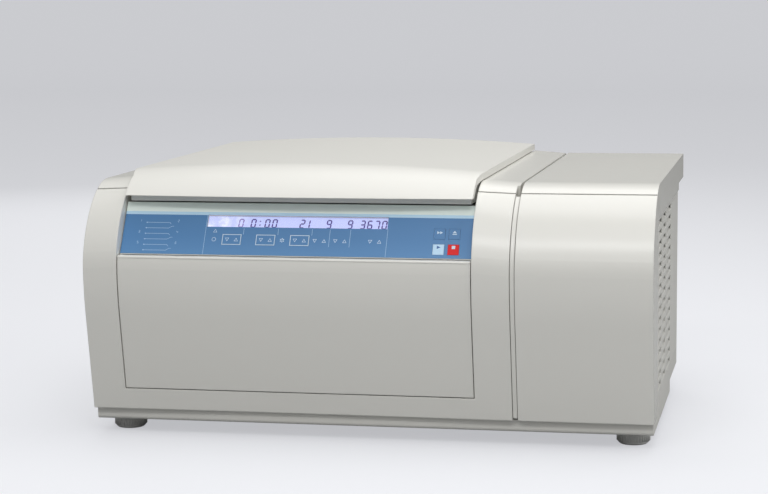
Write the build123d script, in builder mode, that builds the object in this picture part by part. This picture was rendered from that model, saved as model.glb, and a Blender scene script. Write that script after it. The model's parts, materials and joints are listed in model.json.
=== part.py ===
from build123d import *
import os
from math import cos, hypot, radians, sin, sqrt, tan

# Refrigerated bench centrifuge, shown with its lid closed.
# Millimetres. The origin is on the bench under the middle of the housing.
# +X points to the user's right, +Y to the rear and +Z up.

# Overall size
overall_width = 746.0
overall_depth = 605.0
overall_height = 360.0
left = -overall_width / 2
right = overall_width / 2
front = -overall_depth / 2
rear = overall_depth / 2

# Layout across the width: main unit, joint, side compartment
main_share = 0.7567
main_width = main_share * overall_width
joint_width = 7.0
joint_recess = 1.2
main_right = left + main_width
side_left = main_right + joint_width
joint_lip = 3.0
left_pillar = 45.5
right_pillar = 48.5
window_left = left + left_pillar
window_right = main_right - right_pillar
window_width = window_right - window_left
window_middle = (window_left + window_right) / 2

# Layout along the height and depth
foot_height = 19.4
cover_bottom = 36.0
window_bottom = 64.0
side_panel_bottom = 60.5
skirt_bottom = 293.0
overhang_bottom = 303.0
rear_wall = front + 500.0
cover_return = front + 84.0
joint_lip_y = front + 88.0
step_y = front + 354.0
raised_bottom = 36.0

# Side view of the housing: four bends that run into each other, from the leaning front to the flat top
crown_rise = 12.0
lid_stand = 10.0
deck_top = overall_height - crown_rise - lid_stand
front_lean = 11.5
lower_radius = 300.0
nose_radius = 80.0
nose_angle = 15.0
shoulder_radius = 126.5
shoulder_angle = 60.0
blend_radius = 96.0

# Seam between the front covers and the top covers, slanting down to the skirt
seam_foot_y = front + 107.0
seam_slope = 1.25
seam_gap = 1.5
joint_top_y = front + 61.0

# Walls and clearances
cover_wall = 4.0
sheet = 1.5
tray_wall = 2.5
tray_inset = 1.5
close_gap = 0.3
fit_gap = 0.05
edge_gap = 0.8

# Control panel, a flat plane leaning back between the pillars
panel_foot_y = front + 15.1
panel_foot_z = 247.2
panel_tilt = 31.4
panel_height = 75.3
foil_thickness = 0.5
bezel_thickness = 4.0
bezel_back = foil_thickness + bezel_thickness
board_depth = 13.0
board_thickness = 1.6
display_x = 0.0
display_v = 48.9
display_width = 241.5
display_height = 17.3
lens_thickness = 2.5
key_size = 15.0
key_columns = (window_width / 2 - 45.55, window_width / 2 - 26.05)
key_rows = (12.5, 34.5)
pad_width = 26.0
pad_height = 15.5
pad_first = -85.3
pad_pitch = 45.6
pad_v = 22.1
key_travel = 0.6
key_flange = 1.8
key_stem = 6.0

# Lower front panel
inset_depth = 1.5
inset_gap = 1.2
inset_top = 245.5
inset_wall = 3.0
inset_flange = 12.0

# Rotor chamber
chamber_x = window_middle
chamber_y = front + 290.0
bowl_radius = 175.0
bowl_floor = 125.0
bowl_corner = 18.0
bowl_flange = 198.0
well_floor = 310.0
floor_plate = 4.0
coil_tube = 4.0
coil_turns = 10
coil_pitch = 14.0
coil_bottom = 140.0
foam_inner = 185.5
armour_inner = 201.0
armour_wall = 4.0
armour_top = 300.0
foam_bottom = 100.0
neck_radius = 30.0
seal_inner = 178.0
seal_width = 10.0

# Chassis plate and drive
chassis_thickness = 5.0
chassis_z = 38.8
mount_height = 12.0
mount_radius = 12.0
mount_circle = 60.0
motor_radius = 75.0
spindle_radius = 10.0

# Swing-out rotor
pivot_z = 232.0
pivot_radius = 82.0
bucket_side = 43.0
bucket_depth = 36.0
bucket_above = 22.0
bucket_below = 80.0
bucket_wall = 7.0
trunnion_radius = 6.0
groove_depth = 5.0
hub_radius = 34.0
hub_bottom = 192.0
arm_width = 16.0
arm_drop = 24.0
arm_height = 20.0
yoke_near = 46.0
yoke_far = 90.0
knob_radius = 19.0
knob_height = 20.0

# Lid
lid_overhang = 3.5
lid_left = window_left - lid_overhang
lid_right = window_right + lid_overhang
lid_rear = front + 602.0
lid_wall = 3.5
lid_lip_angle = 40.0
lid_lip_z = 321.6
lid_hover = 1.2
neck_gap = 3.0
neck_front_y = front + 72.0
neck_rear_y = front + 106.0
liner_gap = 0.5
liner_bottom = 313.5
liner_front = front + 50.0
liner_rear = front + 566.0
liner_step = front + 300.0
strip_width = 32.5
hinge_y = front + 585.0
hinge_z = 331.0
hinge_spread = 150.0
hinge_pin = 4.0
knuckle_radius = 11.0
knuckle_half = 10.0
ear_thickness = 5.0
skirt_low = 321.0
lid_open_angle = 80.0

# Gas springs in the strips beside the lid liner
spring_anchor_y = front + 330.0
spring_anchor_z = 322.0
spring_lid_y = front + 495.0
spring_lid_z = 336.0
spring_in = 16.5
spring_radius = 9.0
rod_radius = 4.0
eye_radius = 8.0
eye_half = 4.0

# Lid latch
latch_x = 165.0
latch_y = front + 106.0
latch_z = 280.0
striker_reach = 14.0
striker_bar = 3.0
claw_inner = 17.5
claw_outer = 23.0
latch_angle = 60.0

# Side compartment
fan_y = front + 220.0
fan_z = 165.0
fan_radius = 82.0
shroud_radius = 86.0
condenser_front = front + 100.0
condenser_rear = front + 340.0
condenser_top = 284.0
condenser_x = right - 46.7
condenser_depth = 30.0
compressor_x = (side_left + right) / 2 + 0.25
compressor_y = front + 398.0
compressor_radius = 62.0
compressor_bottom = 50.0
compressor_height = 165.0
pipe_radius = 4.0
suction_z = 240.0

# Louvres in the right side panel
louvre_rows = 16
louvre_pitch = 14.45
louvre_first_z = 67.5
louvre_columns = (front + 142.5, front + 221.0, front + 308.5)
louvre_lengths = (55.0, 53.0, 81.0)
louvre_height = 8.6
louvre_depth = 8.5

# Power inlet and switch on the rear panel
inlet_x = side_left + 60.0
inlet_z = 100.0
inlet_body = (54.0, 26.0)
inlet_flange = (64.0, 34.0)
socket_x = -12.5
socket_size = (24.0, 17.0)
socket_depth = 16.0
rocker_x = 16.0
rocker_width = 18.6
rocker_half = 10.5
rocker_thick = 9.0
rocker_hub = 5.2
rocker_swing = 20.0

# Feet
foot_radius = 21.6
foot_inset_x = 31.0
foot_front_y = front + 92.7
foot_rear_y = front + 455.0

# Values worked out from the ones above
sin_nose = sin(radians(nose_angle))
cos_nose = cos(radians(nose_angle))
sin_shoulder = sin(radians(shoulder_angle))
cos_shoulder = cos(radians(shoulder_angle))
bulge_z = (deck_top - nose_radius * sin_nose - shoulder_radius * (sin_shoulder - sin_nose)
           - blend_radius * (1 - sin_shoulder))
lower_centre = (front + lower_radius, bulge_z)
nose_centre = (front + nose_radius, bulge_z)
shoulder_centre = (nose_centre[0] + (shoulder_radius - nose_radius) * cos_nose,
                   nose_centre[1] - (shoulder_radius - nose_radius) * sin_nose)
blend_centre = (shoulder_centre[0] + (blend_radius - shoulder_radius) * cos_shoulder,
                shoulder_centre[1] - (blend_radius - shoulder_radius) * sin_shoulder)
crown_half = window_middle - left
crown_radius = (crown_half ** 2 + crown_rise ** 2) / (2 * crown_rise)
crown_axis = Axis((window_middle, 0, deck_top + crown_rise - crown_radius), (0, 1, 0))
crown_sweep = 6.0
far = 60.0


def block(low, high, mode=Mode.ADD):
    """A box between two opposite corners."""
    size = [b - a for a, b in zip(low, high)]
    middle = [(a + b) / 2 for a, b in zip(low, high)]
    with Locations(tuple(middle)):
        Box(*size, mode=mode)


def rod_along(start, direction, radius, length, mode=Mode.ADD):
    """A round bar from a point along a direction."""
    with BuildSketch(Plane(origin=start, z_dir=direction)) as disc:
        Circle(radius)
    extrude(disc.sketch, amount=length, mode=mode)


def bend(centre, radius, angle):
    """A point of a bend in the side view, its angle counted up from the front."""
    return (centre[0] - radius * cos(radians(angle)), centre[1] + radius * sin(radians(angle)))


def upper_bends(inset, start_angle):
    """Lines of the side view from an angle on the shoulder bend to the start of the flat top."""
    shoulder = shoulder_radius - inset
    blend = blend_radius - inset
    ThreePointArc(bend(shoulder_centre, shoulder, start_angle),
                  bend(shoulder_centre, shoulder, (start_angle + shoulder_angle) / 2),
                  bend(shoulder_centre, shoulder, shoulder_angle))
    ThreePointArc(bend(blend_centre, blend, shoulder_angle),
                  bend(blend_centre, blend, (shoulder_angle + 90) / 2),
                  bend(blend_centre, blend, 90))


def side_section(x, inset, bottom, rear_y, lift=0.0):
    """Closed side-view face of the housing at x, moved in by inset from its outer skin."""
    lower = lower_radius - inset
    nose = nose_radius - inset
    lean = bend(lower_centre, lower, -front_lean)
    foot = (lean[0] + (lean[1] - bottom) * tan(radians(front_lean)), bottom)
    flat = bend(blend_centre, blend_radius - inset, 90)
    with BuildSketch(Plane(origin=(x, 0, lift), x_dir=(0, 1, 0), z_dir=(1, 0, 0))) as section:
        with BuildLine():
            Line(foot, lean)
            ThreePointArc(lean, bend(lower_centre, lower, -front_lean / 2), bend(lower_centre, lower, 0))
            ThreePointArc(bend(nose_centre, nose, 0), bend(nose_centre, nose, nose_angle / 2),
                          bend(nose_centre, nose, nose_angle))
            upper_bends(inset, nose_angle)
            Polyline(flat, (rear_y, flat[1]), (rear_y, bottom), foot)
        make_face()
    return section.sketch


def lid_band(outer, inner, start_angle, rear_y):
    """Closed side-view face between two lines parallel to the housing, from a front angle to the rear."""
    outer_flat = bend(blend_centre, blend_radius - outer, 90)
    inner_flat = bend(blend_centre, blend_radius - inner, 90)
    with BuildSketch(Plane(origin=(window_middle, 0, crown_rise), x_dir=(0, 1, 0), z_dir=(1, 0, 0))) as band:
        with BuildLine():
            upper_bends(outer, start_angle)
            Polyline(outer_flat, (rear_y, outer_flat[1]), (rear_y, inner_flat[1]), inner_flat)
            upper_bends(inner, start_angle)
            Line(bend(shoulder_centre, shoulder_radius - inner, start_angle),
                 bend(shoulder_centre, shoulder_radius - outer, start_angle))
        make_face()
    return band.sketch


def crown(section):
    """Sweep a section drawn at the middle of the main unit along the crown, to both sides."""
    revolve(section, axis=crown_axis, revolution_arc=crown_sweep)
    mirror(about=Plane.YZ.offset(window_middle))


def side_shape(points, x, width, mode=Mode.ADD):
    """A side-view outline given by (y, z) points, extruded across the width from x."""
    with BuildSketch(Plane.YZ.offset(x)) as outline:
        with BuildLine():
            Polyline(*points, close=True)
        make_face()
    extrude(outline.sketch, amount=width, mode=mode)


def seam_y(z):
    """Where the slanted seam lies at a height."""
    return seam_foot_y - seam_slope * (z - skirt_bottom)


def around_chamber(points, mode=Mode.ADD):
    """A ring-shaped solid from (radius, height) points, turned about the chamber's axis."""
    with BuildSketch(Plane(origin=(chamber_x, chamber_y, 0), x_dir=(1, 0, 0), z_dir=(0, -1, 0))) as half:
        with BuildLine():
            Polyline(*points, close=True)
        make_face()
    revolve(half.sketch, axis=Axis((chamber_x, chamber_y, 0), (0, 0, 1)), mode=mode)


def panel_plane(depth):
    """The control panel's plane, depth below its outer face. Its x runs right and its y runs up the panel."""
    lean = radians(panel_tilt)
    plane = Plane(origin=(window_middle, panel_foot_y, panel_foot_z), x_dir=(1, 0, 0),
                  z_dir=(0, -cos(lean), sin(lean)))
    return plane.offset(-depth)


def panel_plate(x, v, width, height, top, bottom, mode=Mode.ADD):
    """A rectangular plate lying in the control panel, between two depths."""
    with BuildSketch(panel_plane(bottom)) as plate:
        with Locations((x, v)):
            Rectangle(width, height)
    extrude(plate.sketch, amount=bottom - top, mode=mode)


def save(piece, name):
    """Label a finished piece and write its file."""
    piece.part.label = name
    export_step(piece.part, "parts/" + name + ".step")


os.makedirs("parts", exist_ok=True)

# Everything in front of the seam belongs to the front covers, everything behind it to the top covers.
low = front - far
high = overall_height + far
panel_front = cover_return + 0.6
with BuildPart() as front_zone:
    side_shape([(low, 0), (cover_return, 0), (cover_return, skirt_bottom - seam_gap),
                (seam_foot_y, skirt_bottom - seam_gap), (seam_y(high), high), (low, high)],
               left - far, overall_width + 2 * far)
with BuildPart() as rear_zone:
    side_shape([(seam_foot_y + seam_gap, skirt_bottom), (seam_y(high) + seam_gap, high),
                (rear, high), (rear, skirt_bottom)],
               left - far, overall_width + 2 * far)

# Base tray: a folded pan, lower in front than behind, with its front edge rounded
tray_top = side_panel_bottom - close_gap
tray_lip = cover_bottom - close_gap
tray_front = front + 42.0
tray_rear = rear_wall - sheet - close_gap
with BuildPart() as base_tray:
    side_shape([(tray_front, foot_height), (step_y, foot_height), (step_y, raised_bottom),
                (tray_rear, raised_bottom), (tray_rear, tray_top), (panel_front, tray_top),
                (panel_front, tray_lip), (tray_front, tray_lip)],
               left + tray_inset, overall_width - 2 * tray_inset)
    lower_edges = base_tray.edges().filter_by(Axis.X).sort_by(Axis.Z)
    front_edge = lower_edges.filter_by(lambda e: e.center().Z < foot_height + 1).sort_by(Axis.Y)[0]
    fillet(front_edge, radius=5.0)
    tray_floor = foot_height + tray_wall
    raised_floor = raised_bottom + tray_wall
    side_shape([(tray_front + tray_wall, tray_floor), (step_y - tray_wall, tray_floor),
                (step_y - tray_wall, raised_floor), (tray_rear - tray_wall, raised_floor),
                (tray_rear - tray_wall, high), (tray_front + tray_wall, high)],
               left + tray_inset + tray_wall, overall_width - 2 * (tray_inset + tray_wall),
               mode=Mode.SUBTRACT)
save(base_tray, "base_tray")

# Feet: rubber pucks, the rear pair taller because the tray steps up
with BuildPart() as rubber_feet:
    for foot_y, height in ((foot_front_y, foot_height), (foot_rear_y, raised_bottom)):
        for foot_x in (left + foot_inset_x, right - foot_inset_x):
            with BuildSketch(Plane(origin=(foot_x, foot_y, 0), x_dir=(1, 0, 0), z_dir=(0, -1, 0))):
                with BuildLine():
                    Polyline((0, 0), (foot_radius - 4.0, 0), (foot_radius - 1.5, 2.0),
                             (foot_radius, height - 2.0), (foot_radius, height), (0, height), close=True)
                make_face()
            revolve(axis=Axis((foot_x, foot_y, 0), (0, 0, 1)))
save(rubber_feet, "rubber_feet")

# Front cover of the main unit: two hollow pillars joined by a hollow lower rail
with BuildPart() as front_cover:
    crown(side_section(window_middle, 0, 0, rear, lift=crown_rise))
    add(front_zone.part, mode=Mode.INTERSECT)
    block((left, low, cover_bottom), (main_right, rear, high), mode=Mode.INTERSECT)
    block((window_left, low, window_bottom), (window_right, rear, high), mode=Mode.SUBTRACT)
    for pillar_x, pillar_width in ((left, left_pillar), (window_right, right_pillar)):
        extrude(side_section(pillar_x + cover_wall, cover_wall, cover_bottom + cover_wall, rear),
                amount=pillar_width - 2 * cover_wall, mode=Mode.SUBTRACT)
    block((window_left - cover_wall, front + 38.0, cover_bottom + cover_wall),
          (window_right + cover_wall, rear, window_bottom - cover_wall), mode=Mode.SUBTRACT)
save(front_cover, "front_cover")

# Lower front panel: a shell that follows the housing, with a ledge back to the control panel
inset_left = window_left + inset_gap
inset_right = window_right - inset_gap
with BuildPart() as front_inset_panel:
    extrude(side_section(inset_left, inset_depth, cover_bottom, rear), amount=inset_right - inset_left)
    extrude(side_section(inset_left + inset_wall, inset_depth + inset_wall, 0, rear),
            amount=inset_right - inset_left - 2 * inset_wall, mode=Mode.SUBTRACT)
    extrude(side_section(inset_left, inset_depth + inset_flange, 0, rear),
            amount=inset_right - inset_left, mode=Mode.SUBTRACT)
    block((inset_left, front + inset_depth + 1.0, inset_top - inset_wall),
          (inset_right, front + inset_depth + inset_flange, inset_top))
    block((inset_left, low, window_bottom + inset_gap), (inset_right, rear, inset_top), mode=Mode.INTERSECT)
    top_edges = front_inset_panel.edges().filter_by(Axis.X).group_by(Axis.Z)[-1]
    fillet(top_edges.sort_by(Axis.Y)[0], radius=2.6)
save(front_inset_panel, "front_inset_panel")

# Control panel: bezel with a flange back to the top cover, printed foil, lens, display and board
panel_width = window_width - 2 * edge_gap
key_places = [("start_key", key_columns[0], key_rows[0]), ("stop_key", key_columns[1], key_rows[0]),
              ("quick_run_key", key_columns[0], key_rows[1]), ("lid_key", key_columns[1], key_rows[1])]
pad_names = ("speed_keys", "time_keys", "temperature_keys")
pad_places = [(name, pad_first + n * pad_pitch, pad_v) for n, name in enumerate(pad_names)]
flange_z = well_floor - 1.0
post_x = 133.0
post_right = window_width / 2 - 12.25
with BuildPart() as control_bezel:
    panel_plate(0, panel_height / 2 - 0.5, panel_width, panel_height + 1.0, foil_thickness, bezel_back)
    block((window_left + edge_gap, panel_foot_y + 41.0, flange_z - 4.0),
          (window_right - edge_gap, seam_y(flange_z) - 2.0, flange_z))
    for post in ((-post_x, 12.0), (-post_x, 57.0), (post_right, 24.0), (post_right, 57.0)):
        with BuildSketch(panel_plane(board_depth - 0.2)):
            with Locations(post):
                Circle(4.0)
        extrude(amount=board_depth - 0.2 - foil_thickness - 1.0)
    panel_plate(display_x, display_v, display_width, display_height, 0, board_depth, mode=Mode.SUBTRACT)
    for name, x, v in key_places:
        panel_plate(x, v, key_size, key_size, 0, board_depth, mode=Mode.SUBTRACT)
    for name, x, v in pad_places:
        panel_plate(x, v, pad_width, pad_height, 0, board_depth, mode=Mode.SUBTRACT)
save(control_bezel, "control_bezel")

with BuildPart() as control_foil:
    panel_plate(0, panel_height / 2, panel_width - 0.4, panel_height - 0.4, 0, foil_thickness)
    panel_plate(display_x, display_v, display_width, display_height, 0, bezel_back, mode=Mode.SUBTRACT)
    for name, x, v in key_places:
        panel_plate(x, v, key_size, key_size, 0, bezel_back, mode=Mode.SUBTRACT)
    for name, x, v in pad_places:
        panel_plate(x, v, pad_width, pad_height, 0, bezel_back, mode=Mode.SUBTRACT)
save(control_foil, "control_foil")

with BuildPart() as display_window:
    panel_plate(display_x, display_v, display_width - 0.5, display_height - 0.5, 0, lens_thickness)
save(display_window, "display_window")

with BuildPart() as display_module:
    panel_plate(display_x, display_v, display_width + 8.0, display_height + 7.0, bezel_back + close_gap,
                board_depth - close_gap)
save(display_module, "display_module")

board_low = 4.0
board_high = 62.0
with BuildPart() as control_board:
    panel_plate((post_right - post_x) / 2, (board_low + board_high) / 2, post_x + post_right + 12.0,
                board_high - board_low, board_depth, board_depth + board_thickness)
    for name, x, v in key_places + pad_places:
        panel_plate(x, v, key_stem, key_stem, board_depth - 0.1, board_depth)
    for x in (-90.0, -30.0, 40.0, 110.0, 165.0):
        panel_plate(x, 33.0, 22.0, 22.0, board_depth + board_thickness, board_depth + board_thickness + 3.0)
save(control_board, "control_board")


def key_piece(x, v, width, height):
    """A key: face in the foil's hole, flange behind the bezel, stem down to its switch."""
    flange_top = bezel_back + close_gap
    flange_bottom = flange_top + key_flange
    panel_plate(x, v, width - 2 * close_gap, height - 2 * close_gap, -0.2, flange_top)
    panel_plate(x, v, width + 1.6, height + 1.6, flange_top, flange_bottom)
    panel_plate(x, v, key_stem, key_stem, flange_bottom, board_depth - 0.1 - key_travel - close_gap)


for name, x, v in key_places:
    with BuildPart() as key:
        key_piece(x, v, key_size, key_size)
    save(key, name)
for name, x, v in pad_places:
    with BuildPart() as pad:
        key_piece(x, v, pad_width, pad_height)
    save(pad, name)

# Front cover of the side compartment, a hollow shell open to the rear
side_width = right - side_left
with BuildPart() as side_front_cover:
    extrude(side_section(side_left, 0, cover_bottom, rear), amount=side_width)
    add(front_zone.part, mode=Mode.INTERSECT)
    extrude(side_section(side_left + cover_wall, cover_wall, cover_bottom + cover_wall, rear),
            amount=side_width - 2 * cover_wall, mode=Mode.SUBTRACT)
save(side_front_cover, "side_front_cover")

# Partition: a recessed strip that shows between the front covers, and the sheet wall behind it
strip_thickness = joint_width - 1.4
strip_x = main_right + 0.7
partition_top = skirt_bottom + 12.0
with BuildPart() as partition_panel:
    extrude(side_section(strip_x, joint_recess, raised_floor + close_gap, tray_rear - tray_wall - close_gap),
            amount=strip_thickness)
    block((left, joint_top_y, partition_top), (right, rear, high), mode=Mode.SUBTRACT)
    web = (strip_thickness - sheet) / 2
    for web_x in (strip_x, strip_x + strip_thickness - web):
        extrude(side_section(web_x, 7.0, 0, rear), amount=web, mode=Mode.SUBTRACT)
    rod_along((main_right, compressor_y, suction_z), (1, 0, 0), pipe_radius + 1.0, joint_width,
              mode=Mode.SUBTRACT)
save(partition_panel, "partition_panel")

# Top cover of the main unit: two shoulders, the well under the lid and the overhang at the rear.
# A relief in each shoulder takes the lid's rear corners as they swing down.
plate_bottom = well_floor - floor_plate
shoulder_wall = 9.0
relief_gap = 0.6
relief_reach = 3.0
relief_bottom = 314.0


def cover_hollow(x, width):
    """Hollow a top cover from below, and its rear overhang above the closed floor."""
    extrude(side_section(x, cover_wall, 0, rear_wall - cover_wall), amount=width, mode=Mode.SUBTRACT)
    block((x, rear_wall - 2 * cover_wall, plate_bottom),
          (x + width, rear - cover_wall, deck_top - cover_wall),
          mode=Mode.SUBTRACT)


with BuildPart() as top_cover:
    crown(side_section(window_middle, 0, 0, rear, lift=crown_rise))
    add(rear_zone.part, mode=Mode.INTERSECT)
    block((left, low, skirt_bottom), (main_right + joint_lip, rear, high), mode=Mode.INTERSECT)
    block((main_right, low, skirt_bottom), (main_right + joint_lip, joint_lip_y, high), mode=Mode.SUBTRACT)
    block((left + cover_wall, low, skirt_bottom), (main_right + joint_lip, rear, overhang_bottom),
          mode=Mode.SUBTRACT)
    block((left, rear_wall, skirt_bottom), (main_right, rear, overhang_bottom), mode=Mode.SUBTRACT)
    block((main_right, low, skirt_bottom), (main_right + joint_lip, rear, partition_top + 1.0),
          mode=Mode.SUBTRACT)
    block((left + cover_wall, low, skirt_bottom),
          (main_right - cover_wall, rear_wall - cover_wall, plate_bottom),
          mode=Mode.SUBTRACT)
    cover_hollow(left + cover_wall, left_pillar - cover_wall - shoulder_wall)
    cover_hollow(window_right + shoulder_wall, right_pillar - cover_wall - shoulder_wall)
    block((window_left, low, well_floor), (window_right, rear, high), mode=Mode.SUBTRACT)
    block((lid_left - relief_gap, hinge_y - relief_reach, relief_bottom),
          (lid_right + relief_gap, rear, high), mode=Mode.SUBTRACT)
    with Locations((chamber_x, chamber_y, well_floor)):
        Cylinder(radius=bowl_radius, height=4 * floor_plate, mode=Mode.SUBTRACT)
    for latch_side in (-latch_x, latch_x):
        block((window_middle + latch_side - 13.0, latch_y - 13.0, plate_bottom - 1.0),
              (window_middle + latch_side + 13.0, latch_y + 13.0, well_floor + 1.0), mode=Mode.SUBTRACT)
save(top_cover, "top_cover")

# Top cover of the side compartment: flat, with a skirt down the right side
with BuildPart() as side_top_cover:
    extrude(side_section(side_left, 0, 0, rear), amount=side_width)
    add(rear_zone.part, mode=Mode.INTERSECT)
    block((side_left, rear_wall, skirt_bottom), (right, rear, overhang_bottom), mode=Mode.SUBTRACT)
    block((side_left, low, skirt_bottom), (right - cover_wall, rear_wall, overhang_bottom),
          mode=Mode.SUBTRACT)
    cover_hollow(side_left + cover_wall, side_width - 2 * cover_wall)
save(side_top_cover, "side_top_cover")

# Side panels: folded sheets standing on the tray's edge, the right one with pressed-in louvres
panel_out = 1.5
panel_top = skirt_bottom - seam_gap - close_gap
panel_rear = rear_wall - sheet - close_gap
fold = 12.0
with BuildPart() as left_side_panel:
    block((left + panel_out, panel_front, side_panel_bottom),
          (left + panel_out + sheet, panel_rear, panel_top))
    for fold_y in (panel_front, panel_rear - sheet):
        block((left + panel_out, fold_y, side_panel_bottom + 2.0),
              (left + panel_out + fold, fold_y + sheet, panel_top - 2.0))
save(left_side_panel, "left_side_panel")

panel_outer = right - panel_out
panel_inner = panel_outer - sheet
with BuildPart() as right_side_panel:
    block((panel_inner, panel_front, side_panel_bottom), (panel_outer, panel_rear, panel_top))
    for fold_y in (panel_front, panel_rear - sheet):
        block((panel_outer - fold, fold_y, side_panel_bottom + 2.0),
              (panel_outer, fold_y + sheet, panel_top - 2.0))
    louvre_middle_z = louvre_first_z + louvre_pitch * (louvre_rows - 1) / 2
    with BuildSketch(Plane.YZ.offset(panel_inner - 1.0)):
        for louvre_y, louvre_length in zip(louvre_columns, louvre_lengths):
            with Locations((louvre_y, louvre_middle_z)):
                with GridLocations(0, louvre_pitch, 1, louvre_rows):
                    Rectangle(louvre_length, louvre_height)
    extrude(amount=sheet + 2.0, mode=Mode.SUBTRACT)
    for louvre_y, louvre_length in zip(louvre_columns, louvre_lengths):
        with BuildSketch(Plane.XZ.offset(-(louvre_y + louvre_length / 2))):
            for row in range(louvre_rows):
                foot = louvre_first_z + row * louvre_pitch - louvre_height / 2
                top = foot + louvre_height
                with BuildLine():
                    Polyline((panel_outer, foot), (panel_inner - louvre_depth, top),
                             (panel_inner - louvre_depth - 1.0, top - 0.8), (panel_inner, foot - 1.6),
                             (panel_outer, foot - 1.6), close=True)
                make_face()
        extrude(amount=louvre_length)
save(right_side_panel, "right_side_panel")

# Rear panel with air slots and the cut-out for the power inlet
slot_rows = 14
slot_pitch = 12.0
slot_middle_z = 190.0
with BuildPart() as rear_panel:
    block((left + panel_out, rear_wall - sheet, raised_bottom), (right - panel_out, rear_wall, panel_top))
    block((left + cover_wall + close_gap, rear_wall - sheet, raised_bottom),
          (right - cover_wall - close_gap, rear_wall, overhang_bottom - close_gap))
    with BuildSketch(Plane.XZ.offset(-rear_wall - 1.0)):
        for slot_x in (right - 0.358 * side_width, left + 0.213 * main_width, left + 0.779 * main_width):
            with Locations((slot_x, slot_middle_z)):
                with GridLocations(0, slot_pitch, 1, slot_rows):
                    Rectangle(70.0, 4.0)
        with Locations((inlet_x, inlet_z)):
            Rectangle(inlet_body[0] + 1.0, inlet_body[1] + 1.0)
    extrude(amount=sheet + 2.0, mode=Mode.SUBTRACT)
save(rear_panel, "rear_panel")

# Chassis plate on the tray's raised floor, with posts down to the lower floor
chassis_top = chassis_z + chassis_thickness
chassis_left = left + 50.0
chassis_right = main_right - 20.0
with BuildPart() as chassis_plate:
    block((chassis_left, panel_front, chassis_z), (chassis_right, tray_rear - 4.0, chassis_top))
    for leg_x in (chassis_left + 20.0, chassis_right - 20.0):
        for leg_y in (panel_front + 16.0, step_y - 30.0):
            block((leg_x - 15.0, leg_y - 15.0, tray_floor + close_gap),
                  (leg_x + 15.0, leg_y + 15.0, chassis_z))
save(chassis_plate, "chassis_plate")

# Armour ring round the chamber
with BuildPart() as armour_ring:
    around_chamber([(armour_inner, chassis_top + close_gap),
                    (armour_inner + armour_wall, chassis_top + close_gap),
                    (armour_inner + armour_wall, armour_top), (armour_inner, armour_top)])
save(armour_ring, "armour_ring")

# Stainless bowl: a deep drawn pot with a rounded foot, a flange and a neck hole
bowl_outer = bowl_radius + sheet
flange_top = plate_bottom - close_gap
with BuildPart() as chamber_bowl:
    around_chamber([(neck_radius + 0.5, bowl_floor - sheet), (bowl_outer, bowl_floor - sheet),
                    (bowl_outer, flange_top - sheet), (bowl_flange, flange_top - sheet),
                    (bowl_flange, flange_top),
                    (bowl_radius, flange_top), (bowl_radius, bowl_floor), (neck_radius + 0.5, bowl_floor)])
    rims = chamber_bowl.edges().filter_by(GeomType.CIRCLE)
    fillet(rims.filter_by(lambda e: abs(e.radius - bowl_radius) < 0.1 and abs(e.center().Z - bowl_floor) < 0.1),
           radius=bowl_corner - sheet)
    rims = chamber_bowl.edges().filter_by(GeomType.CIRCLE)
    fillet(rims.filter_by(lambda e: abs(e.radius - bowl_outer) < 0.1
                          and abs(e.center().Z - bowl_floor + sheet) < 0.1), radius=bowl_corner)
save(chamber_bowl, "chamber_bowl")

# Insulation between the coil and the armour, and under the bowl
with BuildPart() as chamber_insulation:
    foam_outer = armour_inner - close_gap
    foam_floor = bowl_floor - sheet - close_gap
    around_chamber([(neck_radius + 1.0, foam_bottom), (foam_outer, foam_bottom),
                    (foam_outer, flange_top - sheet - close_gap),
                    (foam_inner, flange_top - sheet - close_gap),
                    (foam_inner, foam_floor), (neck_radius + 1.0, foam_floor)])
save(chamber_insulation, "chamber_insulation")

# Evaporator: one tube wound round the bowl in half turns that each climb half a pitch
coil_radius = bowl_outer + 0.7 + coil_tube
with BuildPart() as evaporator_coil:
    with BuildLine(Plane(origin=(chamber_x, chamber_y, coil_bottom))) as coil_path:
        for half in range(2 * coil_turns):
            side = 1 if half % 2 == 0 else -1
            rise = coil_pitch / 2
            middle = sqrt(coil_radius ** 2 + (rise / 2) ** 2)
            ThreePointArc((side * coil_radius, 0, half * rise), (0, side * middle, (half + 0.5) * rise),
                          (-side * coil_radius, 0, (half + 1) * rise))
    with BuildSketch(Plane(origin=(chamber_x + coil_radius, chamber_y, coil_bottom), z_dir=(0, 1, 0))):
        Circle(coil_tube)
    sweep(path=coil_path.wires()[0])
save(evaporator_coil, "evaporator_coil")

# Seal round the mouth of the chamber, on the floor of the well
seal_top = liner_bottom - close_gap
with BuildPart() as chamber_gasket:
    around_chamber([(seal_inner, well_floor), (seal_inner + seal_width, well_floor),
                    (seal_inner + seal_width, well_floor + 1.4), (seal_inner + seal_width - 3.0, seal_top),
                    (seal_inner + 3.0, seal_top), (seal_inner, well_floor + 1.4)])
save(chamber_gasket, "chamber_gasket")

# Drive motor hung over four rubber mounts, its neck reaching through insulation and bowl
motor_foot = chassis_top + mount_height + 2 * close_gap
motor_top = foam_bottom - 1.0
neck_top = bowl_floor + 8.0
with BuildPart() as drive_motor:
    around_chamber([(0, motor_foot), (motor_radius + 8.0, motor_foot), (motor_radius + 8.0, motor_foot + 6.0),
                    (motor_radius, motor_foot + 6.0), (motor_radius, motor_top - 5.0),
                    (motor_radius - 5.0, motor_top),
                    (neck_radius - 0.2, motor_top), (neck_radius - 0.2, neck_top), (0, neck_top)])
    with Locations((chamber_x, chamber_y, motor_foot + 4.0)):
        Cylinder(radius=spindle_radius + fit_gap, height=far * 2, mode=Mode.SUBTRACT,
                 align=(Align.CENTER, Align.CENTER, Align.MIN))
save(drive_motor, "drive_motor")

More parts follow.
